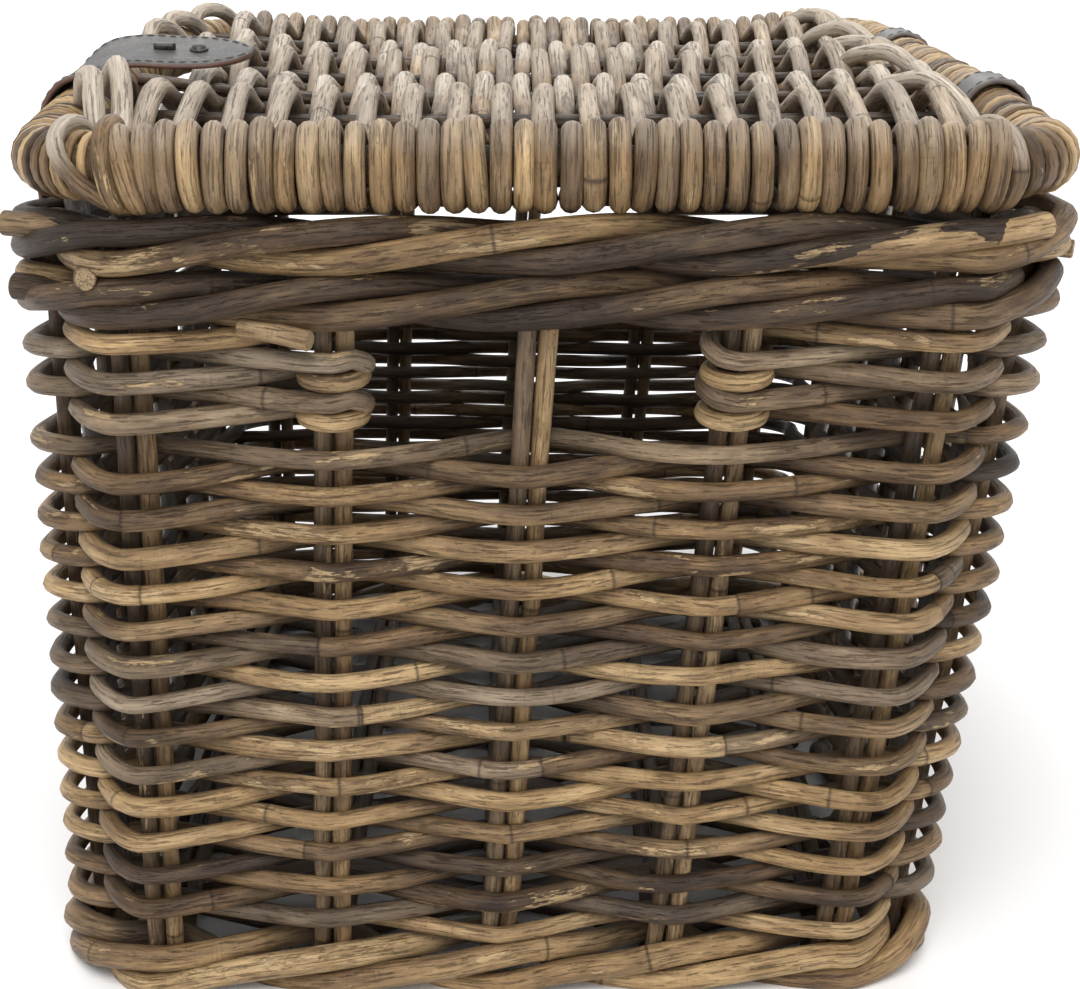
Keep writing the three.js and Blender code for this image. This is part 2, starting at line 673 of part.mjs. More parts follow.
// Closing strap: fixed on the lid by a stud and a bar, bent over the edge, with a tail that
// lies on the catch of the border
function strap() {
  const topZ = crossZ + caneStand + CANE_THICKNESS / 2 + GAP + LEATHER / 2;
  const edgeX = -frameHalfX;
  const tip = -lidWidth / 2 + STRAP_REACH;
  const borderX = (height) => wallAt(height).middleX - wallAt(height).halfX - leatherOut;
  const catchTop = rimUp;
  const catchFoot = catchTop - CATCH_LENGTH;
  const postZ = (catchTop + catchFoot) / 2;
  const tailX = borderX(postZ) - LEATHER - 2 * GAP - POST_HEIGHT;
  const pivotZ = frameZ - loopOut / 2;
  const run = TIP_SHAPE.map(({ back }) => [tip - back * STRAP_WIDTH, topZ]);
  run.push([edgeX, topZ], [tailX, frameZ + loopOut / 2], [tailX, pivotZ + GAP]);
  const narrow = (i) => TIP_SHAPE[i]?.width ?? 1;
  addPart('strap_top', leatherStrip(run, strapPlace, STRAP_WIDTH, narrow), leather);

  const seatZ = topZ + LEATHER / 2 + GAP;
  const studSeat = vec(tip - STUD_FROM_TIP, strapPlace, seatZ);
  addPart('strap_stud', stud(STUD_RADIUS, STUD_HEIGHT, studSeat, UP), metal);
  const barX = tip - BAR_FROM_TIP;
  const barZ = seatZ + BAR_THICKNESS / 2;
  const barPoints = BAR_SHAPE.map(({ along }) => vec(barX + along * BAR_LENGTH, strapPlace, barZ));
  const barSection = rectangle(BAR_THICKNESS, BAR_THICKNESS);
  addPart('strap_bar', caneAlong(barPoints, barSection, { width: (i) => BAR_SHAPE[i].width }), leather);

  const tailFoot = pivotZ - GAP - TAIL_LENGTH;
  const tail = TIP_SHAPE.map(({ back }) => [tailX, tailFoot + back * STRAP_WIDTH]);
  tail.push([tailX, pivotZ - GAP]);
  addPart('strap_tail', leatherStrip(tail, strapPlace, STRAP_WIDTH, narrow), leather);
  const snapSeat = vec(tailX - LEATHER / 2 - GAP, strapPlace, postZ);
  addPart('tail_snap', stud(STUD_RADIUS, STUD_HEIGHT, snapSeat, vec(-1, 0, 0)), metal);

  const tab = [[borderX(catchTop), catchTop], [borderX(catchFoot), catchFoot]];
  addPart('catch_tab', leatherStrip(tab, strapPlace, STRAP_WIDTH), leather);
  const post = new THREE.CylinderGeometry(STUD_RADIUS, STUD_RADIUS, POST_HEIGHT, STUD_SIDES);
  const postX = borderX(postZ) - LEATHER / 2 - GAP - POST_HEIGHT / 2;
  post.rotateZ(Math.PI / 2).translate(postX, strapPlace, postZ);
  addPart('catch_post', post, metal);
}

ribs();
sideStakes();
baseMat();
wallWeavers();
holeWeavers();
wale('foot_wale', FOOT_ROD, footLow, footUp, footIn, true);
wale('upper_wale', BORDER_ROD, upperLow, upperUp, (upperLow + upperUp) / 2, false);
wale('rim_wale', BORDER_ROD, rimLow, rimUp, (rimLow + rimUp) / 2, false);
lidFrame();
lidCrossRods();
lidCanes();
lidBindings();
hinges();
strap();

// The origin is under the middle of the whole outline
const outline = new THREE.Box3().setFromObject(basket);
basket.position.x = -(outline.min.x + outline.max.x) / 2;
basket.position.y = -(outline.min.y + outline.max.y) / 2;

export default basket;
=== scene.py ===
"""Looks of the lidded rattan bicycle basket: every cane, binding and strap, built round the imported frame."""

import json
import math
import zlib

import bpy
import numpy as np
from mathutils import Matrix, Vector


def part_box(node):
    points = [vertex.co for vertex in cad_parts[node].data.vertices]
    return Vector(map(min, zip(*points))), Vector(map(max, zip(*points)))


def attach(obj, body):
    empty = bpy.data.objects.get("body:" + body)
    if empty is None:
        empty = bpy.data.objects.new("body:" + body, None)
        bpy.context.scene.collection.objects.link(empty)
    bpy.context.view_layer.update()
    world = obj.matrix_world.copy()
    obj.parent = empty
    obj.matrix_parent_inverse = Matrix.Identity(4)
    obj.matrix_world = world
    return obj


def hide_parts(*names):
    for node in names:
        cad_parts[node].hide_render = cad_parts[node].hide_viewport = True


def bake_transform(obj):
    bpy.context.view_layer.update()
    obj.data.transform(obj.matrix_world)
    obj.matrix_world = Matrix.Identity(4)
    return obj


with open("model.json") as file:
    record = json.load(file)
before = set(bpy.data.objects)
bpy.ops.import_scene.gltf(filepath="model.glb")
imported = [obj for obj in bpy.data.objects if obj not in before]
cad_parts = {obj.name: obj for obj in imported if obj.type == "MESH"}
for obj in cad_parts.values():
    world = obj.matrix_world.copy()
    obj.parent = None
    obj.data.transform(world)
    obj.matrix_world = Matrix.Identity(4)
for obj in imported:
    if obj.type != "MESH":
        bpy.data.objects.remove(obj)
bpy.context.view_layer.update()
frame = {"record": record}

MM = 0.001

# Sizes of the solids, in millimetres
RIM_LENGTH, RIM_WIDTH = 434, 346
TAPER, BASE_SHIFT = 16, -19
CORNER_RADIUS = 30
END_PAIRS, SIDE_PAIRS = 5, 6
STATIONS = 2 * (END_PAIRS + SIDE_PAIRS)
STAKE = 3.1
PAIR_SPACING = 8
WEAVER, ROW_PITCH, TURNS, PIECES_PER_WEAVER = 6.2, 7.15, 14, 3
HOLE_ROWS = 5
SOLID_SMILE = 0.7
BORDER_ROD, FOOT_ROD = 8, 9.2
FOOT_FLAT, FOOT_INSIDE_LIFT = 0.5, 12
WALE_SLANT = 1.21
BASE_WEAVER, BASE_WEAVER_WIDTH, BASE_ROWS = 4.4, 16, 14
BASE_LIFT, BASE_MARGIN = 1.8, 10
RIB_RISE, RIB_BEND = 7, 6
LID_OVERHANG, LID_CORNER, LID_EDGE, LID_GAP = 13, 45, 30.2, 2.2
FRAME_RADIUS = 7.6
CANE, CANES = 6.6, 38
CROWN = 1.11
CROSS_RODS, CROSS_RADIUS, CROSS_SPACING, CROSS_EASE = 5, 2.3, 5.4, 0.9
BINDING, LOOP_SIDES = 1.6, 6
LEATHER = 2.2
HINGE_WIDTH, HINGE_SHARE, HINGE_DROP = 28, 0.46, 36
STRAP_WIDTH, STRAP_SHARE, STRAP_REACH = 34, -0.25, 75
TAIL_LENGTH, CATCH_LENGTH = 52, 34
STUD_RADIUS, STUD_HEIGHT, RIVET_RADIUS, POST_HEIGHT = 3.6, 2.4, 4, 1.2
BAR_LENGTH, BAR_THICKNESS = 8, 3.4
STUD_FROM_TIP, BAR_FROM_TIP = 20, 33
GAP = 0.3
PAIR_EASE, CORNER_EASE = 0.855, 0.7
CORNER_LEAD, WALE_LEAD = 6, 8
TURN_RISE = 0.35

# Sizes of the real canes, which touch each other where the solids keep clear. A weaver's smile is how far it
# dips in front of a stake pair and rises behind it
WEAVER_RADIUS, WEAVER_SMILE = 3.65, 1.3
STAKE_RADIUS, STAKE_SPACING = 3.35, 7.2
BORDER_RADIUS, FOOT_RADIUS = 4.75, 4.9
LID_CANE_RADIUS, LID_FRAME_RADIUS = 3.85, 7.1
# The lid: its canes' heights over the cross rods, its field's share of the solids' width and how far it is
# off the middle, the radius of its bound edges and the thickness of the strips round them
TALL_HUMP, LOW_HUMP = 10.2, 6.4
FIELD_SHARE, FIELD_SHIFT = 0.967, 4.5
BOUND_RADIUS, STRIP_THICKNESS = 11.9, 2.4
STRAP_TILT, STRAP_LIFT = math.radians(13), 10.5

# The solids' origin is under the middle of their outline; the sizes above count from the rim's middle
low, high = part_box("lid_frame")
SHIFT = np.array([(low.x + high.x) / 2 / MM, 0, 0])

BODY_OF = {n: body for body, nodes in frame["record"]["behaviour"]["bodies"].items() for n in nodes}
UP = np.array([0.0, 0.0, 1.0])
AWAY = np.array([0.0, 1.0, 0.0])


def generator(name):
    """A random generator that gives the same draws for the same name on every run."""
    return np.random.default_rng(zlib.crc32(name.encode()))


# Curves

def unit(vectors):
    return vectors / np.maximum(np.linalg.norm(vectors, axis=-1, keepdims=True), 1e-12)


def smooth_path(points, step, closed=False, kinks=None):
    """A smooth curve through the points, sampled about every step, and each point's place in it. kinks are
    shares, one for each point, by which the curve keeps to the straight line there."""
    p = np.asarray(points, float)
    if closed:
        ends = np.vstack([p[-1:], p, p[:2]])
    else:
        ends = np.vstack([2 * p[0] - p[1], p, 2 * p[-1] - p[-2]])
    knots = np.sqrt(np.linalg.norm(np.diff(ends, axis=0), axis=1)) + 1e-9
    stretches, places, count = [], [], 0
    for i in range(len(ends) - 3):
        p0, p1, p2, p3 = ends[i:i + 4]
        t0, t1, t2 = knots[i:i + 3]
        chord = p2 - p1
        leave = t1 * ((p1 - p0) / t0 - (p2 - p0) / (t0 + t1) + (p2 - p1) / t1)
        arrive = t1 * ((p2 - p1) / t1 - (p3 - p1) / (t1 + t2) + (p3 - p2) / t2)
        if kinks is not None:
            leave += kinks[i] * (chord - leave)
            arrive += kinks[i + 1] * (chord - arrive)
        pieces = max(2, math.ceil(np.linalg.norm(chord) / step))
        u = (np.arange(pieces) / pieces)[:, None]
        stretches.append((2 * u**3 - 3 * u**2 + 1) * p1 + (u**3 - 2 * u**2 + u) * leave
                         + (3 * u**2 - 2 * u**3) * p2 + (u**3 - u**2) * arrive)
        places.append(count)
        count += pieces
    if not closed:
        stretches.append(p[-1:])
        places.append(count)
    return np.vstack(stretches), np.array(places)


def lengths_along(path):
    return np.concatenate([[0], np.cumsum(np.linalg.norm(np.diff(path, axis=0), axis=1))])


WAVES, WAVE_RANGE, WAVE_SUM = 4, (0.6, 1.8), 2.5


def wander(along, rng, wavelength):
    """A slow random wave along a cane, between about -1 and 1: the sum of a few sines of near lengths."""
    total = np.zeros_like(along)
    for _ in range(WAVES):
        wave = wavelength * rng.uniform(*WAVE_RANGE)
        total += np.sin(2 * math.pi * (along / wave + rng.random()))
    return total / WAVE_SUM


def smoothstep(low_end, high_end, values):
    t = np.clip((values - low_end) / (high_end - low_end), 0, 1)
    return t * t * (3 - 2 * t)


def tangents_of(path, closed=False):
    if closed:
        return unit(np.roll(path, -1, axis=0) - np.roll(path, 1, axis=0))
    return unit(np.gradient(path, axis=0))


NEARLY_UPRIGHT = 0.9


def square_to(direction):
    """A direction square to this one: level, unless this one is nearly upright."""
    return np.cross(direction, UP if abs(direction[2]) < NEARLY_UPRIGHT else AWAY)


def carried_frames(path, closed=False):
    """Two directions across the path at each point, carried along it without twist."""
    along = tangents_of(path, closed)
    start = square_to(along[0])
    first = np.zeros_like(path)
    first[0] = start / np.linalg.norm(start)
    for i in range(1, len(path)):
        carried = first[i - 1] - along[i] * np.dot(first[i - 1], along[i])
        first[i] = carried / np.linalg.norm(carried)
    return first, np.cross(along, first)


# Meshes

class Shape:
    """Canes and strips gathered into one mesh, with the values that the materials read at each point."""

    def __init__(self):
        self.points, self.faces, self.inks = [], [], []
        self.values = {"grain": [], "colour": [], "marks": []}
        self.count = 0

    def add(self, points, faces, grain, colour, marks, ink=0):
        self.points.append(points)
        self.faces.extend([[v + self.count for v in face] for face in faces])
        self.inks.extend([ink] * len(faces))
        for name, value in (("grain", grain), ("colour", colour), ("marks", marks)):
            self.values[name].append(np.broadcast_to(value, points.shape))
        self.count += len(points)

    def make(self, name, *materials):
        """The finished object, in metres."""
        mesh = bpy.data.meshes.new(name)
        points = np.vstack(self.points)
        points[:, 2] = np.maximum(points[:, 2], 0)
        mesh.from_pydata(((points + SHIFT) * MM).tolist(), [], self.faces)
        for key, value in self.values.items():
            attribute = mesh.attributes.new(key, "FLOAT_VECTOR", "POINT")
            attribute.data.foreach_set("vector", np.vstack(value).astype(np.float32).ravel())
        mesh.polygons.foreach_set("use_smooth", np.ones(len(mesh.polygons), bool))
        for material in materials:
            mesh.materials.append(material)
        mesh.polygons.foreach_set("material_index", np.array(self.inks, np.int32))
        mesh.update()
        piece = bpy.data.objects.new(name, mesh)
        bpy.context.scene.collection.objects.link(piece)
        return piece


def tube_faces(rings, sides, closed=False):
    faces = []
    for i in range(rings if closed else rings - 1):
        here, there = i * sides, ((i + 1) % rings) * sides
        for j in range(sides):
            k = (j + 1) % sides
            faces.append((here + j, here + k, there + k, there + j))
    return faces


def round_arms(path, radius, sides, closed=False):
    """Points of a round section about each point of a path."""
    first, second = carried_frames(path, closed)
    angles = 2 * math.pi * np.arange(sides) / sides
    spokes = np.cos(angles)[None, :, None] * first[:, None] + np.sin(angles)[None, :, None] * second[:, None]
    return np.broadcast_to(radius, len(path))[:, None, None] * spokes


# The cut end of a cane: how far it stands out and how wide its flat face is, as shares of the radius
CAP_BEVEL, CAP_FACE = 0.14, 0.86


def add_tube(shape, path, arms, grain_along, colour, marks, closed=False, ink=0):
    """A skin of rings round a path. arms[i] are the ring's points about path[i]; open ends are cut square."""
    rings, sides = arms.shape[:2]
    points = path[:, None, :] + arms
    around = 2 * math.pi * np.arange(sides) / sides
    reach = np.linalg.norm(arms, axis=2)
    lengthwise = np.repeat(grain_along[:, None], sides, 1)
    grain = np.stack([lengthwise, reach * np.cos(around), reach * np.sin(around)], 2)
    spread = lambda v: np.repeat(np.broadcast_to(v, (rings, 3))[:, None, :], sides, 1).reshape(-1, 3)
    shape.add(points.reshape(-1, 3), tube_faces(rings, sides, closed), grain.reshape(-1, 3),
              spread(colour), spread(marks), ink)
    if closed:
        return
    along = tangents_of(path)
    colour, marks = np.broadcast_to(colour, (rings, 3)), np.broadcast_to(marks, (rings, 3))
    for end, way in ((0, -1), (-1, 1)):
        face = path[end] + way * along[end] * CAP_BEVEL * reach[end].mean()
        rim = face + arms[end] * CAP_FACE
        cap = np.vstack([points[end], rim, rim, face[None]])
        faces = []
        for j in range(sides):
            k = (j + 1) % sides
            faces += [(j, k, sides + k, sides + j)[::way], (2 * sides + j, 2 * sides + k, 3 * sides)[::way]]
        cut = np.concatenate([np.zeros(2 * sides), np.ones(sides + 1)])
        cap_marks = np.stack([0 * cut, cut, np.full_like(cut, marks[end][2])], 1)
        cap_grain = np.vstack([grain[end], grain[end], grain[end], [[grain_along[end], 0, 0]]])
        shape.add(cap, faces, cap_grain, colour[end], cap_marks, ink)


# Kinds of cane: the ranges of tone (dark to golden), of weathered grey and of flaked bark
GOLDEN = ((0.62, 0.88), (0, 0.15), (0.1, 0.65))
OCHRE = ((0.42, 0.66), (0, 0.12), (0.2, 0.8))
BROWN = ((0.32, 0.56), (0, 0.25), (0, 0.55))
DARK = ((0.08, 0.28), (0.1, 0.45), (0, 0.4))
BLACKENED = ((0.0, 0.2), (0.1, 0.4), (0, 0.35))
GREY = ((0.38, 0.7), (0.5, 0.9), (0, 0.45))
TAN = ((0.46, 0.66), (0.12, 0.4), (0.05, 0.35))
# Palettes: how common each kind is in a part of the basket
WALL = ((0.28, GOLDEN), (0.36, BROWN), (0.1, DARK), (0.26, GREY))
LOW_WALL = ((0.42, GOLDEN), (0.36, BROWN), (0.06, DARK), (0.16, GREY))
# The rim's palette, with its OCHRE and BLACKENED kinds, is darker than the wall's: partly the rods' own dark
# colour, partly painted shade of the lid's overhang
RIM = ((0.22, GOLDEN), (0.18, OCHRE), (0.6, BLACKENED))
UPPER = ((0.08, GOLDEN), (0.17, BROWN), (0.75, BLACKENED))
# The foot's palette is lighter than the wall's: partly the rods' own golden colour, partly painted light of
# the bounce from the white floor
FOOT = ((0.55, GOLDEN), (0.2, BROWN), (0.25, TAN))
LID = ((0.75, ((0.52, 0.74), (0.06, 0.32), (0, 0.25))), (0.25, ((0.46, 0.64), (0.25, 0.5), (0, 0.2))))
STAKE_DARK = ((1, ((0.26, 0.48), (0.2, 0.6), (0, 0.4))),)
STAKE_TAN = ((1, ((0.58, 0.78), (0.05, 0.3), (0.1, 0.5))),)
CROSS = ((1, ((0.05, 0.25), (0.4, 0.8), (0, 0.15))),)
BARK = ((0.65, ((0.76, 1.0), (0, 0.05), (0, 0.3))), (0.35, ((0.2, 0.5), (0, 0.15), (0, 0.2))))


def pick(palette, rng):
    """Tone, grey and flake of one cane."""
    shares = np.cumsum([share for share, _ in palette])
    ranges = palette[int(np.searchsorted(shares, rng.random() * shares[-1]))][1]
    return [rng.uniform(*r) for r in ranges]


# Nodes of a cane: how far apart they are, how far the first may lie before its start, and how far they keep
# from its ends. Sections are added round each node and each join
NODE_EVERY, NODE_START, NODE_MARGIN, MOST_NODES = (110, 320), 100, 12, 200
NODE_SECTIONS, JOIN_SECTIONS = (-1.1, -0.45, 0, 0.45, 1.1), (-0.8, -0.1, 0.1, 0.8)
NODE_SWELL, NODE_REACH, NO_NODE = 0.05, 2.5, 99
# Waves along a cane, by their length: of its run, which fades at its ends, of its thickness and of its tone
RUN_WAVE, RUN_FADE, GAUGE_WAVE, GAUGE_SWING, TONE_WAVE, TONE_SWING = 80, 30, 160, 0.04, 300, 0.08
GRAIN_REACH = 9000


def add_cane(shape, points, radius, palette, rng, *, step=3.2, sides=10, wobble=0.3, joins=(), closed=False,
             weather=None, spread=0.0, kinks=None, drift=0.0):
    """A round cane along a smooth run through the points. At joins, or up to drift from them, one cane ends
    and the next goes on, so its colour steps there, and its thickness by up to spread. The function given for
    its bleach and shade is above 0 where the sun has bleached it and below 0 where it is darkened with painted
    shade."""
    path, places = smooth_path(points, step, closed, kinks)
    along = lengths_along(path)
    edges = np.sort(along[places[list(joins)]] + rng.uniform(-drift, drift, len(joins)))
    nodes = np.cumsum(rng.uniform(*NODE_EVERY, MOST_NODES)) - rng.uniform(0, NODE_START)
    nodes = nodes[(nodes > NODE_MARGIN) & (nodes < along[-1] - NODE_MARGIN)]
    if not closed:
        fine = np.concatenate([nodes + d for d in NODE_SECTIONS] + [edges + d for d in JOIN_SECTIONS])
        samples = np.unique(np.concatenate([along, fine]))
        path = np.stack([np.interp(samples, along, path[:, k]) for k in range(3)], 1)
        fade = smoothstep(0, RUN_FADE, samples) * smoothstep(0, RUN_FADE, samples[-1] - samples)
        for k in range(3):
            path[:, k] += wobble * fade * wander(samples, rng, RUN_WAVE)
    else:
        samples = along
    to_node = np.abs(samples[:, None] - nodes[None]).min(axis=1, initial=NO_NODE)
    to_edge = np.abs(samples[:, None] - edges[None]).min(axis=1, initial=NO_NODE)
    stretch = np.searchsorted(edges, samples)
    picks = np.array([pick(palette, rng) for _ in range(len(edges) + 1)])
    gauge = radius * rng.uniform(1 - spread, 1 + spread, len(edges) + 1)[stretch]
    swell = 1 + NODE_SWELL * np.exp(-(to_node / NODE_REACH) ** 2)
    if not closed:
        swell = swell * (1 + GAUGE_SWING * wander(samples, rng, GAUGE_WAVE))
    colour = picks[stretch]
    colour[:, 0] += TONE_SWING * wander(samples, rng, TONE_WAVE)
    marks = np.zeros((len(path), 3))
    marks[:, 0] = np.clip(1 - np.minimum(to_node, to_edge), 0, 1)
    if weather is not None:
        marks[:, 2] = weather(path)
    grain_along = samples + rng.uniform(0, GRAIN_REACH)
    add_tube(shape, path, round_arms(path, gauge * swell, sides, closed), grain_along, colour, marks, closed)


STRIP_SQUARENESS = 0.6


def add_strip(shape, path, ups, width, thickness, colour, *, sides=12, grain_start=0.0, weather=0.0):
    """A flat strip: a rounded section that keeps its broad side towards ups. width may change along it."""
    ways = tangents_of(path)
    across = unit(np.cross(ups, ways))
    upward = np.cross(ways, across)
    angles = 2 * math.pi * (np.arange(sides) + 0.5) / sides
    rounded = lambda v: np.sign(v) * np.abs(v) ** STRIP_SQUARENESS / 2
    a, b = rounded(np.cos(angles)), rounded(np.sin(angles))
    arms = (np.broadcast_to(width, len(path))[:, None, None] * a[None, :, None] * across[:, None]
            + thickness * b[None, :, None] * upward[:, None])
    add_tube(shape, path, arms, lengths_along(path) + grain_start, colour, (0, 0, weather))


def settle(shape, node, *materials):
    """Makes the shape's piece, which stands for the node and moves with its body."""
    piece = shape.make(f"{node}_look", *materials)
    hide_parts(node)
    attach(piece, BODY_OF[node])


# Materials

def linear(red, green, blue):
    """A colour given as it shows on a screen, 0 to 255, in the linear numbers that Blender takes."""
    scale = lambda c: c / 12.92 if c <= 0.04045 else ((c + 0.055) / 1.055) ** 2.4
    return (*[scale(v / 255) for v in (red, green, blue)], 1)


class Nodes:
    """A material's node tree, with short ways to add nodes and link them."""

    def __init__(self, name):
        self.material = bpy.data.materials.new(name)
        self.material.use_nodes = True
        self.tree = self.material.node_tree
        self.shader = self.tree.nodes["Principled BSDF"]

    def add(self, kind, inputs=None, **settings):
        node = self.tree.nodes.new(kind)
        for key, value in settings.items():
            setattr(node, key, value)
        for key, value in (inputs or {}).items():
            self.put(node.inputs[key], value)
        return node

    def put(self, socket, value):
        if isinstance(value, bpy.types.NodeSocket):
            self.tree.links.new(value, socket)
        else:
            socket.default_value = value

    def math(self, operation, a, b=0.0):
        node = self.add("ShaderNodeMath", operation=operation)
        self.put(node.inputs[0], a)
        self.put(node.inputs[1], b)
        return node.outputs[0]

    def times(self, a, b):
        return self.math("MULTIPLY", a, b)

    def attribute(self, name):
        return self.add("ShaderNodeAttribute", attribute_name=name).outputs["Vector"]

    def parts(self, vector):
        node = self.add("ShaderNodeSeparateXYZ", {"Vector": vector})
        return [node.outputs[k] for k in "XYZ"]

    def noise(self, vector, along, across, detail=2.0, roughness=0.5, offset=0.0):
        """Noise on a stretched copy of the vector: so many cells a millimetre along and across the cane."""
        mapped = self.add("ShaderNodeMapping", {"Vector": vector, "Location": (offset, offset, offset),
                                                "Scale": (along, across, across)})
        noise = self.add("ShaderNodeTexNoise", {"Vector": mapped.outputs[0], "Scale": 1.0, "Detail": detail,
                                                "Roughness": roughness})
        return noise.outputs["Fac"]

    def range(self, value, low_in, high_in, low_out=0.0, high_out=1.0):
        node = self.add("ShaderNodeMapRange", {"Value": value, "From Min": low_in, "From Max": high_in,
                                               "To Min": low_out, "To Max": high_out})
        return node.outputs[0]

    def ramp(self, value, *stops):
        """Colours at even steps of the value, from 0 to 1."""
        node = self.add("ShaderNodeValToRGB", {"Fac": value})
        elements = node.color_ramp.elements
        while len(elements) < len(stops):
            elements.new(0.5)
        for i, stop in enumerate(stops):
            elements[i].position = i / (len(stops) - 1)
            elements[i].color = linear(*stop)
        return node.outputs["Color"]

    def mix(self, share, a, b, blend="MIX"):
        node = self.add("ShaderNodeMix", data_type="RGBA", blend_type=blend)
        self.put(node.inputs[0], share)
        self.put(node.inputs[6], a)
        self.put(node.inputs[7], b)
        return node.outputs[2]

    def darken(self, colour, light):
        grey = self.add("ShaderNodeCombineColor", {"Red": light, "Green": light, "Blue": light}).outputs[0]
        return self.mix(1.0, colour, grey, "MULTIPLY")

    def finish(self, colour, roughness, height, depth):
        self.put(self.shader.inputs["Base Color"], colour)
        self.put(self.shader.inputs["Roughness"], roughness)
        bump = self.add("ShaderNodeBump", {"Height": height, "Distance": depth * MM})
        self.put(self.shader.inputs["Normal"], bump.outputs[0])
        return self.material


# Dry cane reflects less than the shader's usual half
DRY_GLOSS = 0.28


def rattan(name):
    """Rattan: fibres and dark dashes along the cane, bark that flakes off, rings at its nodes, grey where it
    has weathered, pale where the sun has bleached it and darkened with painted shade where its marks fall
    below 0."""
    n = Nodes(name)
    grain = n.attribute("grain")
    tone, grey, flake = n.parts(n.attribute("colour"))
    ring, cut, weather = n.parts(n.attribute("marks"))
    bleach, painted_shade = n.range(weather, 0, 1), n.range(weather, 0, -1)
    fibre = n.noise(grain, 0.035, 1.2, detail=5, roughness=0.72)
    patchy = n.noise(grain, 0.012, 0.05, detail=3, roughness=0.55, offset=31)
    mottle = n.noise(grain, 0.05, 0.2, detail=6, roughness=0.68, offset=37)
    dash = n.range(n.noise(grain, 0.07, 0.95, detail=5, roughness=0.72, offset=57), 0.55, 0.61)
    speck = n.range(n.noise(grain, 0.45, 0.9, detail=4, roughness=0.75, offset=83), 0.6, 0.65)
    tick = n.times(n.range(n.noise(grain, 1.3, 0.12, detail=2, offset=91), 0.6, 0.66),
                   n.range(n.noise(grain, 0.015, 0.03, offset=97), 0.55, 0.62))
    patch = n.noise(grain, 0.026, 0.12, detail=8, roughness=0.7, offset=7)
    bare = n.range(n.math("ADD", patch, n.times(flake, 0.15)), 0.645, 0.66)
    left = n.range(n.noise(grain, 0.06, 0.22, detail=7, roughness=0.72, offset=13), 0.55, 0.58)
    shade = n.math("ADD", tone, n.math("ADD", n.range(patchy, 0.3, 0.7, -0.3, 0.3),
                                       n.range(mottle, 0.3, 0.7, -0.22, 0.22)))
    bark = n.ramp(shade, (52, 39, 29), (87, 67, 47), (125, 99, 69), (160, 130, 90), (195, 164, 119))
    weathered = n.ramp(shade, (60, 50, 42), (94, 81, 67), (127, 112, 95), (160, 146, 128))
    colour = n.mix(grey, bark, weathered)
    flaked = n.ramp(mottle, (150, 120, 84), (192, 164, 123), (214, 190, 152))
    colour = n.mix(n.times(bare, 0.75), colour, flaked)
    colour = n.mix(n.times(left, n.times(flake, 0.6)), colour, linear(66, 49, 36))
    colour = n.mix(n.times(dash, 0.5), colour, linear(58, 44, 33))
    colour = n.mix(n.times(speck, 0.4), colour, linear(46, 35, 27))
    colour = n.mix(n.times(tick, 0.25), colour, linear(58, 45, 35))
    bleached = n.ramp(mottle, (172, 156, 137), (214, 201, 185), (238, 229, 217))
    pale = n.mix(n.times(dash, 0.62), bleached, linear(92, 80, 68))
    colour = n.mix(bleach, colour, pale)
    colour = n.mix(n.times(ring, 0.75), colour, linear(40, 30, 23))
    pores = n.range(n.noise(grain, 0.0, 2.6, detail=1, offset=3), 0.5, 0.62)
    colour = n.mix(cut, colour, n.mix(pores, linear(176, 152, 116), linear(92, 74, 55)))
    # Painted shade: marks below 0 pull the colour towards dark brown, for the shade behind the stakes, under
    # the lid's overhang, at the base, in the binding's gaps and low in the lid
    colour = n.mix(n.times(painted_shade, n.range(mottle, 0.3, 0.7, 0.6, 1.0)), colour, linear(40, 31, 24))
    colour = n.darken(colour, n.range(fibre, 0.3, 0.7, 0.62, 1.28))
    rough = n.math("ADD", n.range(fibre, 0.3, 0.7, 0.34, 0.52), n.times(bleach, 0.3))
    height = n.math("SUBTRACT", n.math("ADD", fibre, n.times(bare, -0.4)), n.times(dash, 0.5))
    n.shader.inputs["Specular IOR Level"].default_value = DRY_GLOSS
    return n.finish(colour, rough, height, 0.5)


def hide(name):
    """Dark grey leather, with a fine grain, scuffs, and raw reddish edges."""
    n = Nodes(name)
    grain = n.attribute("grain")
    worn, edge, _ = n.parts(n.attribute("marks"))
    cloud = n.noise(grain, 0.06, 0.06, detail=5, roughness=0.65)
    pits = n.noise(grain, 1.3, 1.3, detail=3, roughness=0.6, offset=19)
    scuff = n.range(n.noise(grain, 0.1, 0.35, detail=6, roughness=0.7, offset=41), 0.56, 0.68)
    colour = n.ramp(n.range(cloud, 0.25, 0.75), (42, 41, 41), (63, 61, 60), (94, 91, 88))
    rubbed = n.math("MAXIMUM", n.times(scuff, 0.45), n.times(worn, n.range(pits, 0.3, 0.7, 0.3, 0.9)))
    colour = n.mix(rubbed, colour, linear(146, 144, 140))
    colour = n.mix(edge, colour, n.mix(cloud, linear(78, 46, 36), linear(124, 78, 58)))
    rough = n.range(pits, 0.3, 0.7, 0.4, 0.6)
    return n.finish(colour, rough, n.math("ADD", pits, n.times(scuff, -0.3)), 0.25)


def plain(name, dark, light, roughness, metallic, scale):
    """Thread or metal: two colours in a fine cloud."""
    n = Nodes(name)
    cloud = n.noise(n.attribute("grain"), scale, scale, detail=4, roughness=0.65)
    n.shader.inputs["Metallic"].default_value = metallic
    colour = n.mix(n.range(cloud, 0.35, 0.65), linear(*dark), linear(*light))
    return n.finish(colour, n.range(cloud, 0.3, 0.7, roughness - 0.1, roughness + 0.1), cloud, 0.12)


RATTAN = {slot: rattan(slot) for slot in ("cane", "border_cane", "bleached_cane", "dark_cane")}
HIDE = hide("leather")
THREAD = plain("thread", (70, 64, 59), (104, 96, 88), 0.8, 0.0, 1.5)
METAL = plain("dark_metal", (46, 44, 42), (78, 74, 70), 0.4, 0.6, 0.7)


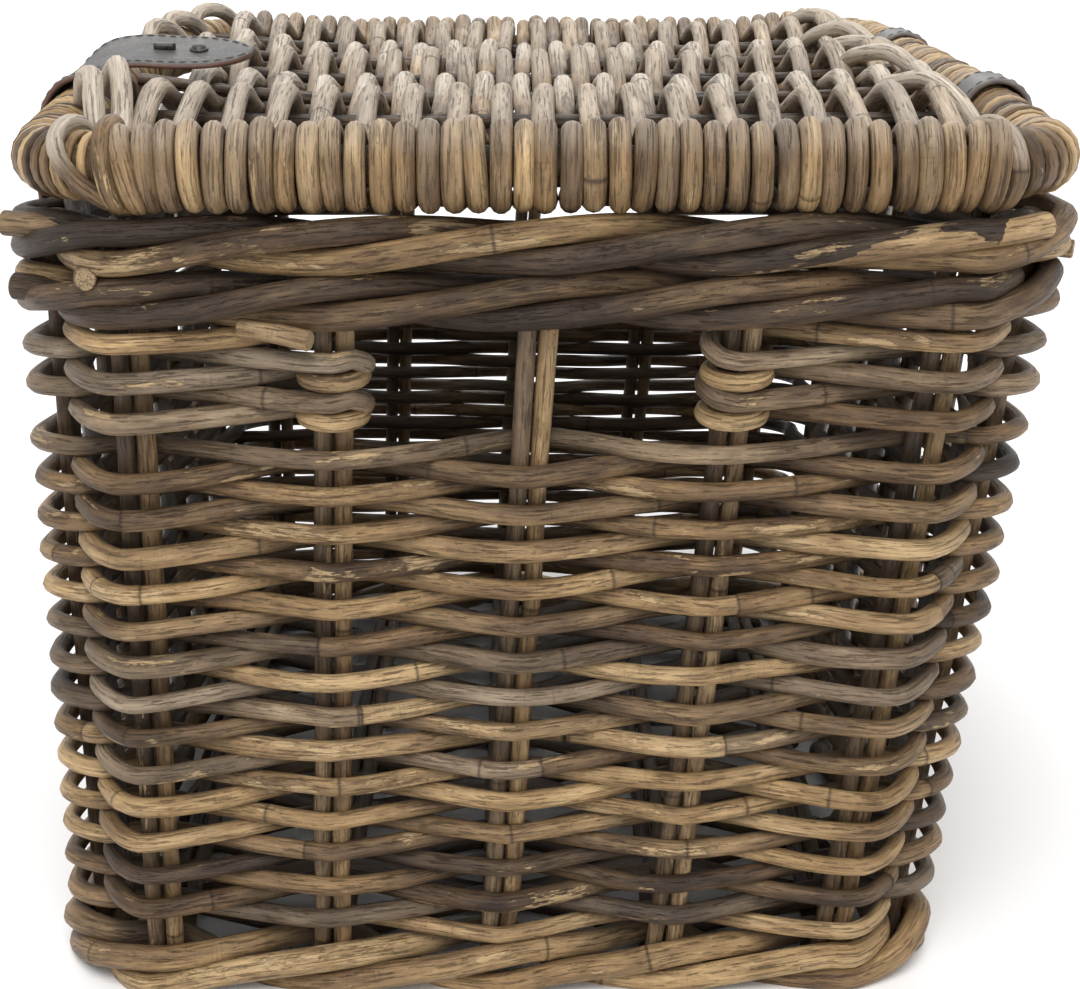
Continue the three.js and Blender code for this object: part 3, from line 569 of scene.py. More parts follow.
# The wall: places of the stake pairs, and points round it

class Place:
    """A stake pair, or the corner between two walls. lead is +1 just before a corner and -1 just after it."""

    def __init__(self, normal, station, lead, share, corner):
        self.normal = np.array([*normal, 0.0])
        self.tangent = np.cross(UP, self.normal)
        self.station, self.lead, self.share, self.corner = station, lead, share, corner


def wall_places():
    walls = [(END_PAIRS, (0, -1)), (SIDE_PAIRS, (1, 0)), (END_PAIRS, (0, 1)), (SIDE_PAIRS, (-1, 0))]
    places, station = [], 0
    for w, (pairs, normal) in enumerate(walls):
        for i in range(pairs):
            lead = 1 if i == pairs - 1 else (-1 if i == 0 else 0)
            places.append(Place(normal, station, lead, 2 * i / (pairs - 1) - 1, False))
            station += 1
        turned = unit(np.add(normal, walls[(w + 1) % len(walls)][1]).astype(float))
        places.append(Place(turned, station - 0.5, 0, 0, True))
    return places


PLACES = wall_places()
PLACE_OF = {p.station: p for p in PLACES}


def place_at(n):
    return PLACE_OF[n % STATIONS]


def place_after(place):
    return PLACES[(PLACES.index(place) + 1) % len(PLACES)]


def stand_off(thickness):
    """How far a cane of this thickness stands off the stake line to clear a pair."""
    return (STAKE + thickness / 2 + GAP) / PAIR_EASE


# Heights, from the floor up
foot_low = FOOT_ROD / 2 * math.cos(math.pi / 5) - FOOT_FLAT
foot_up = foot_low + WALE_SLANT * FOOT_ROD
foot_in = foot_low + FOOT_INSIDE_LIFT
first_row = max(foot_up + SOLID_SMILE, foot_in - SOLID_SMILE) + (FOOT_ROD + WEAVER) / 2 + GAP
last_row = first_row + 2 * ROW_PITCH * TURNS
hole_first = last_row + ROW_PITCH
hole_last = hole_first + ROW_PITCH * (HOLE_ROWS - 1)
upper_low = hole_last + SOLID_SMILE + (WEAVER + BORDER_ROD) / 2 + GAP
upper_up = upper_low + WALE_SLANT * BORDER_ROD
rim_low = upper_up + WALE_SLANT * BORDER_ROD
rim_up = rim_low + WALE_SLANT * BORDER_ROD
rim_top = rim_up + BORDER_ROD / 2
stake_top = rim_top - STAKE - GAP


def wall_at(z):
    """Half sizes of the stake line at height z, and how far its middle is off centre."""
    below = 1 - z / rim_top
    return RIM_WIDTH / 2 - TAPER * below, RIM_LENGTH / 2 - TAPER * below, BASE_SHIFT * below


def point_at(place, z, outside, along=0.0):
    """A point at a place, at height z, so far outside the stake line and so far along the wall."""
    half_x, half_y, middle_x = wall_at(z)
    straight = np.array([half_x - CORNER_RADIUS, half_y - CORNER_RADIUS, 0])
    point = np.array([middle_x, 0, z])
    if place.corner:
        point = point + np.sign(place.normal) * straight + place.normal * CORNER_RADIUS
    else:
        reach = straight[0] if place.normal[0] == 0 else straight[1]
        point = point + place.normal * np.array([half_x, half_y, 0]) + place.tangent * place.share * reach
    return point + place.normal * outside + place.tangent * along


# How dark the painted shade behind the stakes is, and from where outside them to where inside them it builds
# up
STAKE_SHADE, STAKE_SHADE_SPAN = 0.7, (3, -6)


def painted_shade(path):
    """Painted shade on the wall's canes where they pass behind the stakes."""
    half_x, half_y, middle_x = wall_at(path[:, 2])
    beyond_x = np.abs(path[:, 0] - middle_x) - (half_x - CORNER_RADIUS)
    beyond_y = np.abs(path[:, 1]) - (half_y - CORNER_RADIUS)
    outside = np.hypot(np.maximum(beyond_x, 0), np.maximum(beyond_y, 0)) - CORNER_RADIUS
    outside = outside + np.minimum(np.maximum(beyond_x, beyond_y), 0)
    return -STAKE_SHADE * smoothstep(*STAKE_SHADE_SPAN, outside)


weaver_out = stand_off(WEAVER)
weaver_corner_out = (STAKE + WEAVER / 2 + GAP) / CORNER_EASE


def weaver_point(place, z, in_front):
    sign = 1 if in_front else -1
    out = weaver_out if place.lead == 0 else weaver_corner_out
    return point_at(place, z - sign * WEAVER_SMILE, sign * out, place.lead * CORNER_LEAD)


# How sharply the weavers may bend at the stake pairs and at the corners, where 1 is a bend with no rounding
PAIR_BEND, CORNER_BEND, LEAST_BEND = 0.8, 0.25, 0.2
# How far the weavers stray up and down and along their run, how often and how far from a pair they are
# pieced, and how much their thickness differs
ROW_STRAY, WEAVER_WOBBLE, WEAVER_JOINS, JOIN_DRIFT, WEAVER_SPREAD = 0.35, 0.5, 0.12, 16, 0.1


def some(rng, places, share):
    """A random share of these places, in order."""
    return [p for p in places if rng.random() < share]


def wall_weavers():
    """Two weavers chase each other round and up the wall, each in front of every other pair."""
    for family, letter in enumerate("ab"):
        start = family * STATIONS // 2
        height = lambda n: first_row + 2 * ROW_PITCH * (n - start) / STATIONS
        in_front = lambda n: (n + family) % 2 == 0

        def join_near(n, step):
            join = round(n)
            while in_front(join) or place_at(join).lead != 0:
                join += step
            return join

        begin = join_near(start, 1)
        for piece in range(1, PIECES_PER_WEAVER + 1):
            node = f"weaver_{letter}{piece}"
            rng = generator(node)
            end = join_near(start + STATIONS * TURNS * piece / PIECES_PER_WEAVER, -1)
            points, bends = [], []
            for n in range(begin, end + 1):
                place = place_at(n)
                points.append(weaver_point(place, height(n) + rng.normal(0, ROW_STRAY), in_front(n)))
                bends.append(PAIR_BEND if place.lead == 0 else CORNER_BEND)
                if place.lead == 1 and n < end:
                    points.append(point_at(place_after(place), height(n + 0.5), 0))
                    bends.append(CORNER_BEND)
            shape = Shape()
            palette = LOW_WALL if piece == 1 else WALL
            joins = some(rng, range(2, len(points) - 2), WEAVER_JOINS)
            kinks = rng.uniform(LEAST_BEND, 1, len(points)) * bends
            # The weaver is darkened with painted shade where it passes behind the stakes
            add_cane(shape, points, WEAVER_RADIUS, palette, rng, joins=joins, wobble=WEAVER_WOBBLE,
                     weather=painted_shade, spread=WEAVER_SPREAD, drift=JOIN_DRIFT, kinks=kinks)
            settle(shape, node, RATTAN["cane"])
            begin = end


def turn_round(thickness):
    """How far along, out and up a cane goes that turns back round the outer stake of a pair."""
    reach = STAKE + thickness / 2 + 2 * GAP
    slant = reach * math.tan(math.pi / 8)
    stake = PAIR_SPACING / 2
    return [(stake + slant, reach, 0), (stake + reach, slant, TURN_RISE),
            (stake + reach, -slant, 1 - TURN_RISE), (stake + slant, -reach, 1)]


# An extra turn of cane: its half length and depth, its slope, its radius beside a weaver's, its points
WRAP_ALONG, WRAP_OUT, WRAP_SLOPE, WRAP_SHARE, WRAP_POINTS = 9.8, 7.0, 1.6, 0.97, 12


def add_wrap(shape, place, z, rng):
    """An extra turn of cane round a pair at the edge of a hand hole."""
    points = []
    for angle in 2 * math.pi * np.arange(WRAP_POINTS) / WRAP_POINTS:
        along = WRAP_ALONG * math.cos(angle)
        out = WRAP_OUT * math.sin(angle)
        points.append(point_at(place, z - WRAP_SLOPE * math.sin(angle), out, along))
    add_cane(shape, points, WEAVER_RADIUS * WRAP_SHARE, STAKE_TAN, rng, closed=True)


# Beside the hand holes: how far the weaver strays, how often it is pieced, how far thickness and bends vary
HOLE_WOBBLE, HOLE_JOINS, HOLE_SPREAD, HOLE_BEND = 0.4, 0.25, 0.08, 0.5


def hole_weavers():
    """Beside the hand holes a cane goes back and forth and turns round the pairs that edge the holes."""
    edge = (END_PAIRS - 1) // 2 - 1
    firsts = {"right": END_PAIRS - 1 - edge, "left": 2 * END_PAIRS + SIDE_PAIRS - 1 - edge}
    for side, first in firsts.items():
        node = f"hole_weaver_{side}"
        rng = generator(node)
        last = first + SIDE_PAIRS + 2 * edge + 1
        shape = Shape()
        points, behind = [], []
        for row in range(HOLE_ROWS):
            z = hole_first + row * ROW_PITCH
            forward = row % 2 == 0
            for step in range(first, last + 1):
                n = step if forward else first + last - step
                in_front = (n + row) % 2 == 0
                if step > first:
                    between = place_after(place_at(n - 1 if forward else n))
                    if between.corner:
                        points.append(point_at(between, z, 0))
                if not in_front:
                    behind.append(len(points))
                points.append(weaver_point(place_at(n), z, in_front))
                if n in (first, last) and not in_front and row < HOLE_ROWS - 1:
                    add_wrap(shape, place_at(n), z, rng)
            if row < HOLE_ROWS - 1:
                n = last if forward else first
                outwards = 1 if (n + row) % 2 == 0 else -1
                for along, out, rise in turn_round(WEAVER):
                    ahead = along if forward else -along
                    points.append(point_at(place_at(n), z + rise * ROW_PITCH, outwards * out, ahead))
        joins = some(rng, behind[1:-1], HOLE_JOINS)
        kinks = rng.uniform(0, HOLE_BEND, len(points))
        # The weaver is darkened with painted shade where it passes behind the stakes
        add_cane(shape, points, WEAVER_RADIUS, WALL, rng, joins=joins, wobble=HOLE_WOBBLE, weather=painted_shade,
                 spread=HOLE_SPREAD, kinks=kinks)
        settle(shape, node, RATTAN["cane"])


# Thick rods: their sections, how far they stray, how often they are pieced and how much thickness differs
ROD_SECTIONS = {"step": 4, "sides": 14}
ROD_WOBBLE, ROD_JOINS, ROD_SPREAD, ROD_END_WOBBLE = 0.6, 0.85, 0.06, 0.2
WALE_RODS = 3
# Painted shade of the lid's overhang, laid all over the rods of the upper and rim wales
BORDER_SHADE = 0.25


def wale(name, rod, radius, levels, palette, overhang_shade=0.0, ends=None):
    """Three-rod wale: each rod goes in front of two pairs, rising from the low to the upper line of levels,
    and behind the third. An amount given for it darkens it all over with painted shade of the lid's overhang,
    and ends are short cut ends, by rod, that stick out."""
    low_line, upper_line, inside = levels
    out = stand_off(rod)
    first = STATIONS - 1
    for j in range(WALE_RODS):
        phase_at = lambda n: (n - j + WALE_RODS) % WALE_RODS

        def link_after(n):
            phase = phase_at(n)
            z = ((low_line + upper_line) / 2, upper_line, low_line)[phase]
            stand = out if phase == 0 else 0
            place = place_at(n)
            after = place_after(place)
            if after.corner:
                return point_at(after, z, stand)
            return (point_at(place, z, stand) + point_at(after, z, stand)) / 2

        points, behind = [link_after(first - 1)], []
        for n in range(first, first + STATIONS):
            place, phase = place_at(n), phase_at(n)
            z = (low_line, upper_line, inside)[phase]
            stand = -out if phase == 2 else out
            lead = 0 if phase == 2 else place.lead * WALE_LEAD
            if lead < 0:
                points.append(point_at(place, z, stand, lead))
            if phase == 2:
                behind.append(len(points))
            points.append(point_at(place, z, stand))
            if lead > 0:
                points.append(point_at(place, z, stand, lead))
            at_end = n == first + STATIONS - 1
            if at_end or not (phase == 0 and place.lead != 1):
                points.append(link_after(n))
        node = f"{name}_{j + 1}"
        rng = generator(node)
        shape = Shape()
        joins = some(rng, behind, ROD_JOINS)
        # Painted shade behind the stakes, and on the border all over for the lid's overhang
        add_cane(shape, points, radius, palette, rng, joins=joins, wobble=ROD_WOBBLE, spread=ROD_SPREAD,
                 weather=lambda path: painted_shade(path) - overhang_shade, **ROD_SECTIONS)
        for gauge, kind, run in (ends or {}).get(j, ()):
            add_cane(shape, run, gauge, ((1, kind),), rng, wobble=ROD_END_WOBBLE, **ROD_SECTIONS)
        settle(shape, node, RATTAN["border_cane"])


# Cut ends of rods that show on the near end of the border and its corners, as radius, kind and run
RIM_ENDS = {0: [(4.6, TAN, [(-104, -215, 291), (-150, -211, 294), (-186, -204, 296)])],
            1: [(4.6, GOLDEN, [(66, -221, 286), (115, -227, 291.5), (152, -225, 295.5), (170, -217, 297)])],
            2: [(3.4, TAN, [(166, -186, 285), (178, -189, 284.5), (186, -192, 284)])]}
UPPER_ENDS = {0: [(4.6, DARK, [(-96, -216, 269), (-150, -211, 272), (-184, -204, 274)])],
              1: [(3.8, TAN, [(-163, -185, 279), (-158, -210, 280.5), (-154, -230, 281.5)])],
              2: [(3.6, TAN, [(-104, -221, 263), (-92, -226, 262), (-80, -231, 260.5)])]}


def add_pair(shape, points, lateral, spacing, radius, palettes, rng, **options):
    """Two canes side by side."""
    for side, palette in zip((-0.5, 0.5), palettes):
        run = np.asarray(points) + np.asarray(lateral) * side * spacing
        add_cane(shape, run, radius, palette, rng, **options)


base_out = stand_off(BASE_WEAVER)
rib_low = STAKE + 2 * GAP
rib_high = base_out + BASE_WEAVER / 2 + BASE_LIFT
foot_inner = stand_off(FOOT_ROD) + FOOT_ROD / 2 + GAP


def stakes():
    """Pairs that run down one end, across the base and up the other, and the pairs of the long walls."""
    def down(place):
        levels = [(stake_top, 0), ((stake_top + rib_low) / 2, 0), (rib_low + RIB_BEND, 0),
                  (rib_low, -RIB_BEND), (rib_low, -foot_inner), (rib_high, -foot_inner - RIB_RISE)]
        return [point_at(place, z, outside) for z, outside in levels]

    runs = {}
    for i in range(END_PAIRS):
        far = PLACE_OF[2 * END_PAIRS + SIDE_PAIRS - 1 - i]
        runs[f"rib_{i + 1}"] = (down(PLACE_OF[i]) + down(far)[::-1], (1, 0, 0))
    for side, first in (("right", END_PAIRS), ("left", 2 * END_PAIRS + SIDE_PAIRS)):
        for i in range(SIDE_PAIRS):
            levels = (rib_low, (rib_low + stake_top) / 2, stake_top)
            run = [point_at(PLACE_OF[first + i], z, 0) for z in levels]
            runs[f"side_stake_{side}_{i + 1}"] = (run, (0, 1, 0))
    for node, (run, lateral) in runs.items():
        shape = Shape()
        # The stakes are darkened with painted shade where they lie behind the wall's line
        add_pair(shape, run, lateral, STAKE_SPACING, STAKE_RADIUS, (STAKE_DARK, STAKE_TAN), generator(node),
                 step=6, weather=painted_shade)
        settle(shape, node, RATTAN["cane"])


# Step and thickness of the base weaver, and the painted shade that darkens it all over at the basket's bottom
MAT_STEP, MAT_THICKNESS, MAT_SHADE = 5, BASE_WEAVER - 0.4, -0.3


def base_mat():
    """A flat cane that goes back and forth over and under the ribs."""
    reach = wall_at(rib_high)[1] - foot_inner - RIB_RISE - BASE_MARGIN
    pitch = 2 * reach / (BASE_ROWS - 1)
    rib_x = lambda i: point_at(PLACE_OF[i], rib_high, 0)[0]
    points = []
    for row in range(BASE_ROWS):
        y = -reach + row * pitch
        forward = row % 2 == 0
        for step in range(END_PAIRS):
            i = step if forward else END_PAIRS - 1 - step
            over = 1 if (i + row) % 2 == 0 else -1
            points.append((rib_x(i), y, rib_high + over * base_out))
        if row < BASE_ROWS - 1:
            end = END_PAIRS - 1 if forward else 0
            upwards = 1 if (end + row) % 2 == 0 else -1
            for along, out, rise in turn_round(BASE_WEAVER):
                ahead = along if forward else -along
                points.append((rib_x(end) + ahead, y + rise * pitch, rib_high + upwards * out))
    path, _ = smooth_path(points, MAT_STEP)
    ups = unit(np.cross(tangents_of(path), AWAY))
    rng = generator("base_weaver")
    shape = Shape()
    add_strip(shape, path, ups, BASE_WEAVER_WIDTH, MAT_THICKNESS, pick(WALL, rng), weather=MAT_SHADE)
    settle(shape, "base_weaver", RATTAN["cane"])


# The lid

lid_length, lid_width = RIM_LENGTH + 2 * LID_OVERHANG, RIM_WIDTH + 2 * LID_OVERHANG
cane_pitch = (lid_width - 2 * LID_EDGE) / CANES
wrap_out = FRAME_RADIUS + GAP + CANE / 2
crown_out = CROWN * wrap_out
frame_z = rim_top + LID_GAP + wrap_out + CANE / 2
binding_out = (FRAME_RADIUS + 2 * GAP + BINDING / 2) / math.cos(math.pi / LOOP_SIDES)
binding_outer = binding_out + BINDING / 2 / math.cos(math.pi / LOOP_SIDES)
frame_half_x = lid_width / 2 - binding_outer
frame_half_y = lid_length / 2 - wrap_out - CANE / 2
frame_corner = LID_CORNER - binding_outer
cane_stand = (CROSS_RADIUS + CANE / 2 + GAP) / CROSS_EASE
cross_z = frame_z + crown_out - cane_stand
cross_places = [frame_half_y * (2 * (k + 1) / (CROSS_RODS + 1) - 1) for k in range(CROSS_RODS)]
straight_x, straight_y = frame_half_x - frame_corner, frame_half_y - frame_corner
frame_arc = frame_corner * math.pi / 2
frame_half_run = 2 * straight_x + 2 * frame_arc + 2 * straight_y
hinge_places = {"near": -HINGE_SHARE * RIM_LENGTH / 2, "far": HINGE_SHARE * RIM_LENGTH / 2}
strap_place = STRAP_SHARE * RIM_LENGTH
strap_tip = -lid_width / 2 + STRAP_REACH
cross_pitch = 2 * frame_half_y / (CROSS_RODS + 1)
strap_top_z = cross_z + cane_stand + CANE / 2 + GAP + LEATHER / 2


def frame_at(distance):
    """A point of the frame's middle line and the way out of the lid there, along the right half from its near
    end."""
    left = distance - straight_x
    if left < 0:
        return np.array([distance, -frame_half_y, frame_z]), -AWAY
    for y, turned in ((-straight_y, -math.pi / 2), (straight_y, 0)):
        if left < frame_arc:
            angle = left / frame_corner + turned
            normal = np.array([math.cos(angle), math.sin(angle), 0])
            return np.array([straight_x, y, frame_z]) + normal * frame_corner, normal
        left -= frame_arc
        if turned < 0:
            if left < 2 * straight_y:
                return np.array([frame_half_x, left - straight_y, frame_z]), np.array([1.0, 0, 0])
            left -= 2 * straight_y
    return np.array([straight_x - left, frame_half_y, frame_z]), AWAY


# Warp of the lid: how far its edges rise and its strap side bows, where that sets in towards the edges, and
# where it sets in, and on the strap side fades, from the near end to the far one
HINGE_EDGE_RISE, STRAP_EDGE_RISE, STRAP_EDGE_BOW = 5, 8.5, 5
HINGE_EDGE, STRAP_EDGE = (90, 165), (-90, -165)
HINGE_RISE_FROM, STRAP_RISE_FROM, STRAP_FADE_FROM, BOW_FROM = (-185, -70), (-195, -50), (80, 210), (-85, 60)
STRAP_FADE = 0.5


def edge_lift(points):
    """How far the lid's long edges rise behind its near corners."""
    x, y = points[:, 0], points[:, 1]
    hinge_side = HINGE_EDGE_RISE * smoothstep(*HINGE_EDGE, x) * smoothstep(*HINGE_RISE_FROM, y)
    strap_side = STRAP_EDGE_RISE * smoothstep(*STRAP_EDGE, x) * smoothstep(*STRAP_RISE_FROM, y)
    return hinge_side + strap_side * (1 - STRAP_FADE * smoothstep(*STRAP_FADE_FROM, y))


def warp(points):
    """The lid's long edges rise, and its strap side bows outwards."""
    x, y = points[:, 0], points[:, 1]
    bow = -STRAP_EDGE_BOW * smoothstep(*STRAP_EDGE, x) * smoothstep(*BOW_FROM, y)
    return points + np.stack([bow, 0 * x, edge_lift(points)], 1)


# Points along half of the frame and along a cross rod
FRAME_POINTS, CROSS_POINTS = 90, 9


def lid_frame():
    half = np.array([frame_at(d)[0] for d in np.linspace(0, frame_half_run, FRAME_POINTS)])
    points = np.vstack([half[:-1], (half * np.array([-1, 1, 1]))[:0:-1]])
    shape = Shape()
    add_cane(shape, warp(points), LID_FRAME_RADIUS, CROSS, generator("lid_frame"), step=8, sides=14,
             closed=True)
    settle(shape, "lid_frame", RATTAN["dark_cane"])


def lid_cross_rods():
    reach = frame_half_x - binding_outer - CROSS_RADIUS - GAP
    for k, y in enumerate(cross_places):
        node = f"lid_cross_rod_{k + 1}"
        shape = Shape()
        points = warp(np.array([(x, y, cross_z) for x in np.linspace(-reach, reach, CROSS_POINTS)]))
        add_pair(shape, points, AWAY, CROSS_SPACING, CROSS_RADIUS, (CROSS, CROSS), generator(node),
                 step=6, sides=8)
        settle(shape, node, RATTAN["dark_cane"])


# How bleached the lid's canes are: the least, how much more every other one is, and the loops round its ends
FIELD_BLEACH, EVERY_OTHER_BLEACH, LOOP_BLEACH = 0.56, 0.4, 0.25
# Heights above the cross rods between which bleach and painted shade set in, how dark that painted shade is,
# and how far from the frame the loops begin
BLEACH_LEVELS, SHADE_LEVELS, LID_SHADE, LOOPS_FROM = (-3, 5), (1, -6), 0.5, (-16, -4)


def sun(path):
    """How far the sun has bleached the lid's canes: every other one nearly white, and the crown of the loops
    a little. What lies low is darkened with painted shade."""
    column = np.rint((path[:, 0] - FIELD_SHIFT) / (FIELD_SHARE * cane_pitch) + (CANES - 1) / 2)
    pale = FIELD_BLEACH + EVERY_OTHER_BLEACH * (column % 2)
    level = path[:, 2] - edge_lift(path) - cross_z
    on_top = smoothstep(*BLEACH_LEVELS, level)
    loops = smoothstep(*LOOPS_FROM, np.abs(path[:, 1]) - frame_half_y)
    low_down = smoothstep(*SHADE_LEVELS, level) * (1 - loops)
    # Bleach on top, less painted shade where the canes lie low between the humps
    return on_top * (pale * (1 - loops) + LOOP_BLEACH * loops) - LID_SHADE * low_down


# How far the outermost loops of the near end lean, by cane, and by what share of that they stand out
SLANTED, SLANT_STAND = {0: 6, 1: 2.5, 2: 1, CANES - 2: -1, CANES - 1: -2.5}, 0.6
# Where the canes dip behind the loops and how deep, and where they turn under the lid
DIP_PLACE, DIP_DEPTH, HAIRPIN_PLACE, HAIRPIN_DROP = 13, 6.5, -9, 0.2
# How far loops stray sideways and up, above which height they do, and how far the canes between them stray
LOOP_STRAY, LOOP_RISE, LOOP_TOP, FIELD_STRAY, HUMP_STRAY, HUMP_RISE = 0.4, 0.5, 5, 0.4, 0.5, 0.4
CANE_SAG = 0.5


def lid_canes():
    """Each half of the lid is a cane that goes to and fro over and under the cross rods, round the frame."""
    slant = wrap_out * math.tan(math.pi / 8)
    wrap = [(-DIP_PLACE, crown_out - DIP_DEPTH), (slant, crown_out), (wrap_out, slant), (wrap_out, -slant),
            (slant, -wrap_out), (HAIRPIN_PLACE, -wrap_out - HAIRPIN_DROP)]
    half = CANES // 2
    for s, side in enumerate(("left", "right")):
        node = f"lid_cane_{side}"
        rng = generator(node)
        points, turns = [], []
        for c in range(half):
            index = s * half + c
            x = (index - (CANES - 1) / 2) * cane_pitch * FIELD_SHARE + FIELD_SHIFT

            def end(sign):
                slanted = SLANTED.get(index, 0) if sign < 0 else 0
                lean = rng.normal(0, LOOP_STRAY, 2) + (0, slanted)
                rise = rng.normal(0, LOOP_RISE)
                loop = []
                for out, up in wrap:
                    place = np.interp(up, (-wrap_out, crown_out), (1, 0))
                    stand = out + (SLANT_STAND * abs(slanted) * place if out > 0 else 0)
                    loop.append((x + lean[0] + place * (lean[1] - lean[0]), sign * (frame_half_y + stand),
                                 frame_z + up + (rise if up > LOOP_TOP else 0)))
                return loop

            run = end(-1)[::-1]
            for k, y in enumerate(cross_places):
                if k > 0:
                    run.append((x + rng.normal(0, FIELD_STRAY), y - cross_pitch / 2, cross_z - CANE_SAG))
                over = -cane_stand
                if (index + k) % 2 == 0:
                    over = LOW_HUMP if k % 2 else TALL_HUMP
                run.append((x + rng.normal(0, HUMP_STRAY), y, cross_z + over + rng.normal(0, HUMP_RISE)))
            run += end(1)
            if c > 0:
                turns.append(len(points))
            points += run if c % 2 == 0 else run[::-1]
        shape = Shape()
        add_cane(shape, warp(np.array(points)), LID_CANE_RADIUS, LID, rng, step=2.6, sides=12, joins=turns,
                 wobble=0.35, weather=sun, spread=0.08)
        settle(shape, node, RATTAN["bleached_cane"])


def edge_point(distance, angle, out, mirror):
    """A point beside the bound edge, at an angle round it, 0 outwards and 90 degrees on top, and the way out
    of the edge there."""
    point, normal = frame_at(distance)
    radial = normal * math.cos(angle) + UP * math.sin(angle)
    flip = np.array([mirror, 1, 1])
    return (point + radial * (BOUND_RADIUS + out)) * flip, radial * flip


# On the hinge side, 1, and the strap side, -1: pitch, least and most width of the strips and the share of a
# turn at which they start, and where arcs land
STRIPS = {1: (6.2, 5.2, 7.8, 0.28), -1: (3.9, 2.9, 4.7, 0.72)}
ARC_ENDS = {1: (-150, -60, -6, 50, 138), -1: ()}
ARC_RUN = [(-28, 52, -8), (-25, 38, 6), (-19, 24, 11), (-12, 8, 12), (-5, -5, 8), (1, -14, 0), (8, -22, -7)]
# Canes along the strap side: two that rise steeply in front of the strap, and three on the edge behind it
STEEP_ARCS = [[(-154, -198, 322), (-157, -186, 334), (-160, -172, 341), (-164, -158, 339), (-169, -146, 329)],
              [(-146, -188, 323), (-149, -174, 336), (-152, -160, 343), (-156, -148, 342), (-162, -136, 331)],
              [(-160, 104, 312), (-167, 92, 327), (-172, 76, 332), (-175, 60, 331), (-174, 46, 320)],
              [(-158, 148, 312), (-164, 134, 328), (-169, 118, 333), (-172, 104, 331), (-172, 90, 320)],
              [(-146, 196, 314), (-152, 182, 330), (-159, 164, 335), (-165, 148, 333), (-169, 132, 320)]]
# Strands over the near corners: radius, how bleached, and shares of the corner's bend with degrees round it
STRANDS = {1: [(3.1, 0.5, ((0.1, 150), (0.14, 112), (0.18, 75), (0.21, 35), (0.22, -5), (0.21, -45),
                           (0.18, -85)))],
           -1: [(3.5, 0.0, ((0.08, 150), (0.08, 100), (0.08, 50), (0.06, 0), (0.04, -45), (0.02, -85))),
                (3.1, 0.75, ((0.42, 150), (0.4, 112), (0.37, 78), (0.34, 45), (0.28, 15), (0.2, -12),
                             (0.11, -38), (0.02, -62), (-0.06, -88)))]}
# Where a strand comes out of the field, how deep it lies in the binding, and heights between which it pales
STRAND_START, STRAND_SINK, STRAND_BLEACH_FROM = (-9, 4, -4), 1.2, (-2, 9)
ARC_RADIUS, ARC_BLEACH, ARC_STRAY, TRIM_WOBBLE = 3.7, 0.85, 0.6, 0.2
# Strips of a binding: samples a turn, how far they sink, how far a turn leans, where their grain may start
TURN_SAMPLES, STRIP_SINK, TURN_LEAN, STRIP_GRAIN = 16, (-2.2, -0.2), (-0.06, 0.06), 900
# The dark core below the strips, painted dark as the shade in the gaps between them: how deep it lies, how far
# it reaches past them, how dark that painted shade is and its sections
CORE_SINK, CORE_REACH, CORE_SHADE, CORE_RINGS, CORE_SIDES = 2.1, 2, -0.9, 120, 14


def lid_bindings():
    """Split cane wound close round the frame along each long edge and its corners, with the strands that lace
    the edge to the field."""
    for side, mirror in (("right", 1), ("left", -1)):
        node = f"lid_binding_{side}"
        rng = generator(node)
        shape = Shape()
        flip = np.array([mirror, 1, 1])
        field_edge = FIELD_SHARE * cane_pitch * CANES / 2 + mirror * FIELD_SHIFT
        length = frame_half_run - 2 * field_edge
        pitch, narrow, wide, phase = STRIPS[mirror]
        turns = round(length / pitch)
        spots = np.linspace(0, 1, turns * TURN_SAMPLES + 1)
        at_turns = lambda low_end, high_end: np.interp(spots * turns, np.arange(turns + 1),
                                                       rng.uniform(low_end, high_end, turns + 1))
        lifts, widths, lean = at_turns(*STRIP_SINK), at_turns(narrow, wide), at_turns(*TURN_LEAN)
        angles = -mirror * 2 * math.pi * (spots * turns + lean + phase)
        pairs = [edge_point(field_edge + spot * length, angle, lift, mirror)
                 for spot, lift, angle in zip(spots, lifts, angles)]
        path, ups = warp(np.array([p for p, _ in pairs])), np.array([u for _, u in pairs])
        picks = np.array([pick(BARK, rng) for _ in range(turns + 1)])
        add_strip(shape, path, ups, widths, STRIP_THICKNESS, picks[(spots * turns).astype(int)], sides=8,
                  grain_start=rng.uniform(0, STRIP_GRAIN))

        # The core, darkened with painted shade, shows as the shade in the gaps between the strips
        reach = np.linspace(field_edge - CORE_REACH, field_edge + length + CORE_REACH, CORE_RINGS)
        core = warp(np.array([frame_at(d)[0] for d in reach]) * flip)
        add_tube(shape, core, round_arms(core, BOUND_RADIUS - CORE_SINK, CORE_SIDES), lengths_along(core),
                 pick(BARK, rng), (0, 0, CORE_SHADE))

        arcs = [(np.array(ARC_RUN) + (field_edge, y, cross_z)) * flip for y in ARC_ENDS[mirror]]
        if mirror < 0:
            arcs += [np.array(arc) for arc in STEEP_ARCS]
        for arc in arcs:
            run = warp(arc + rng.normal(0, ARC_STRAY, arc.shape))
            add_cane(shape, run, ARC_RADIUS, LID, rng, wobble=TRIM_WOBBLE,
                     weather=lambda path: np.full(len(path), ARC_BLEACH))
        for gauge, bleach, strand in STRANDS[mirror]:
            out = gauge - STRAND_SINK
            run = [edge_point(straight_x + share * frame_arc, math.radians(angle), out, mirror)[0]
                   for share, angle in strand]
            run = warp(np.array([run[0] + flip * STRAND_START] + run))
            add_cane(shape, run, gauge, ((1, TAN),), rng, sides=14, wobble=TRIM_WOBBLE,
                     weather=lambda path: bleach * smoothstep(*STRAND_BLEACH_FROM, path[:, 2] - frame_z))
        settle(shape, node, RATTAN["dark_cane"])


# Leather and its fasteners

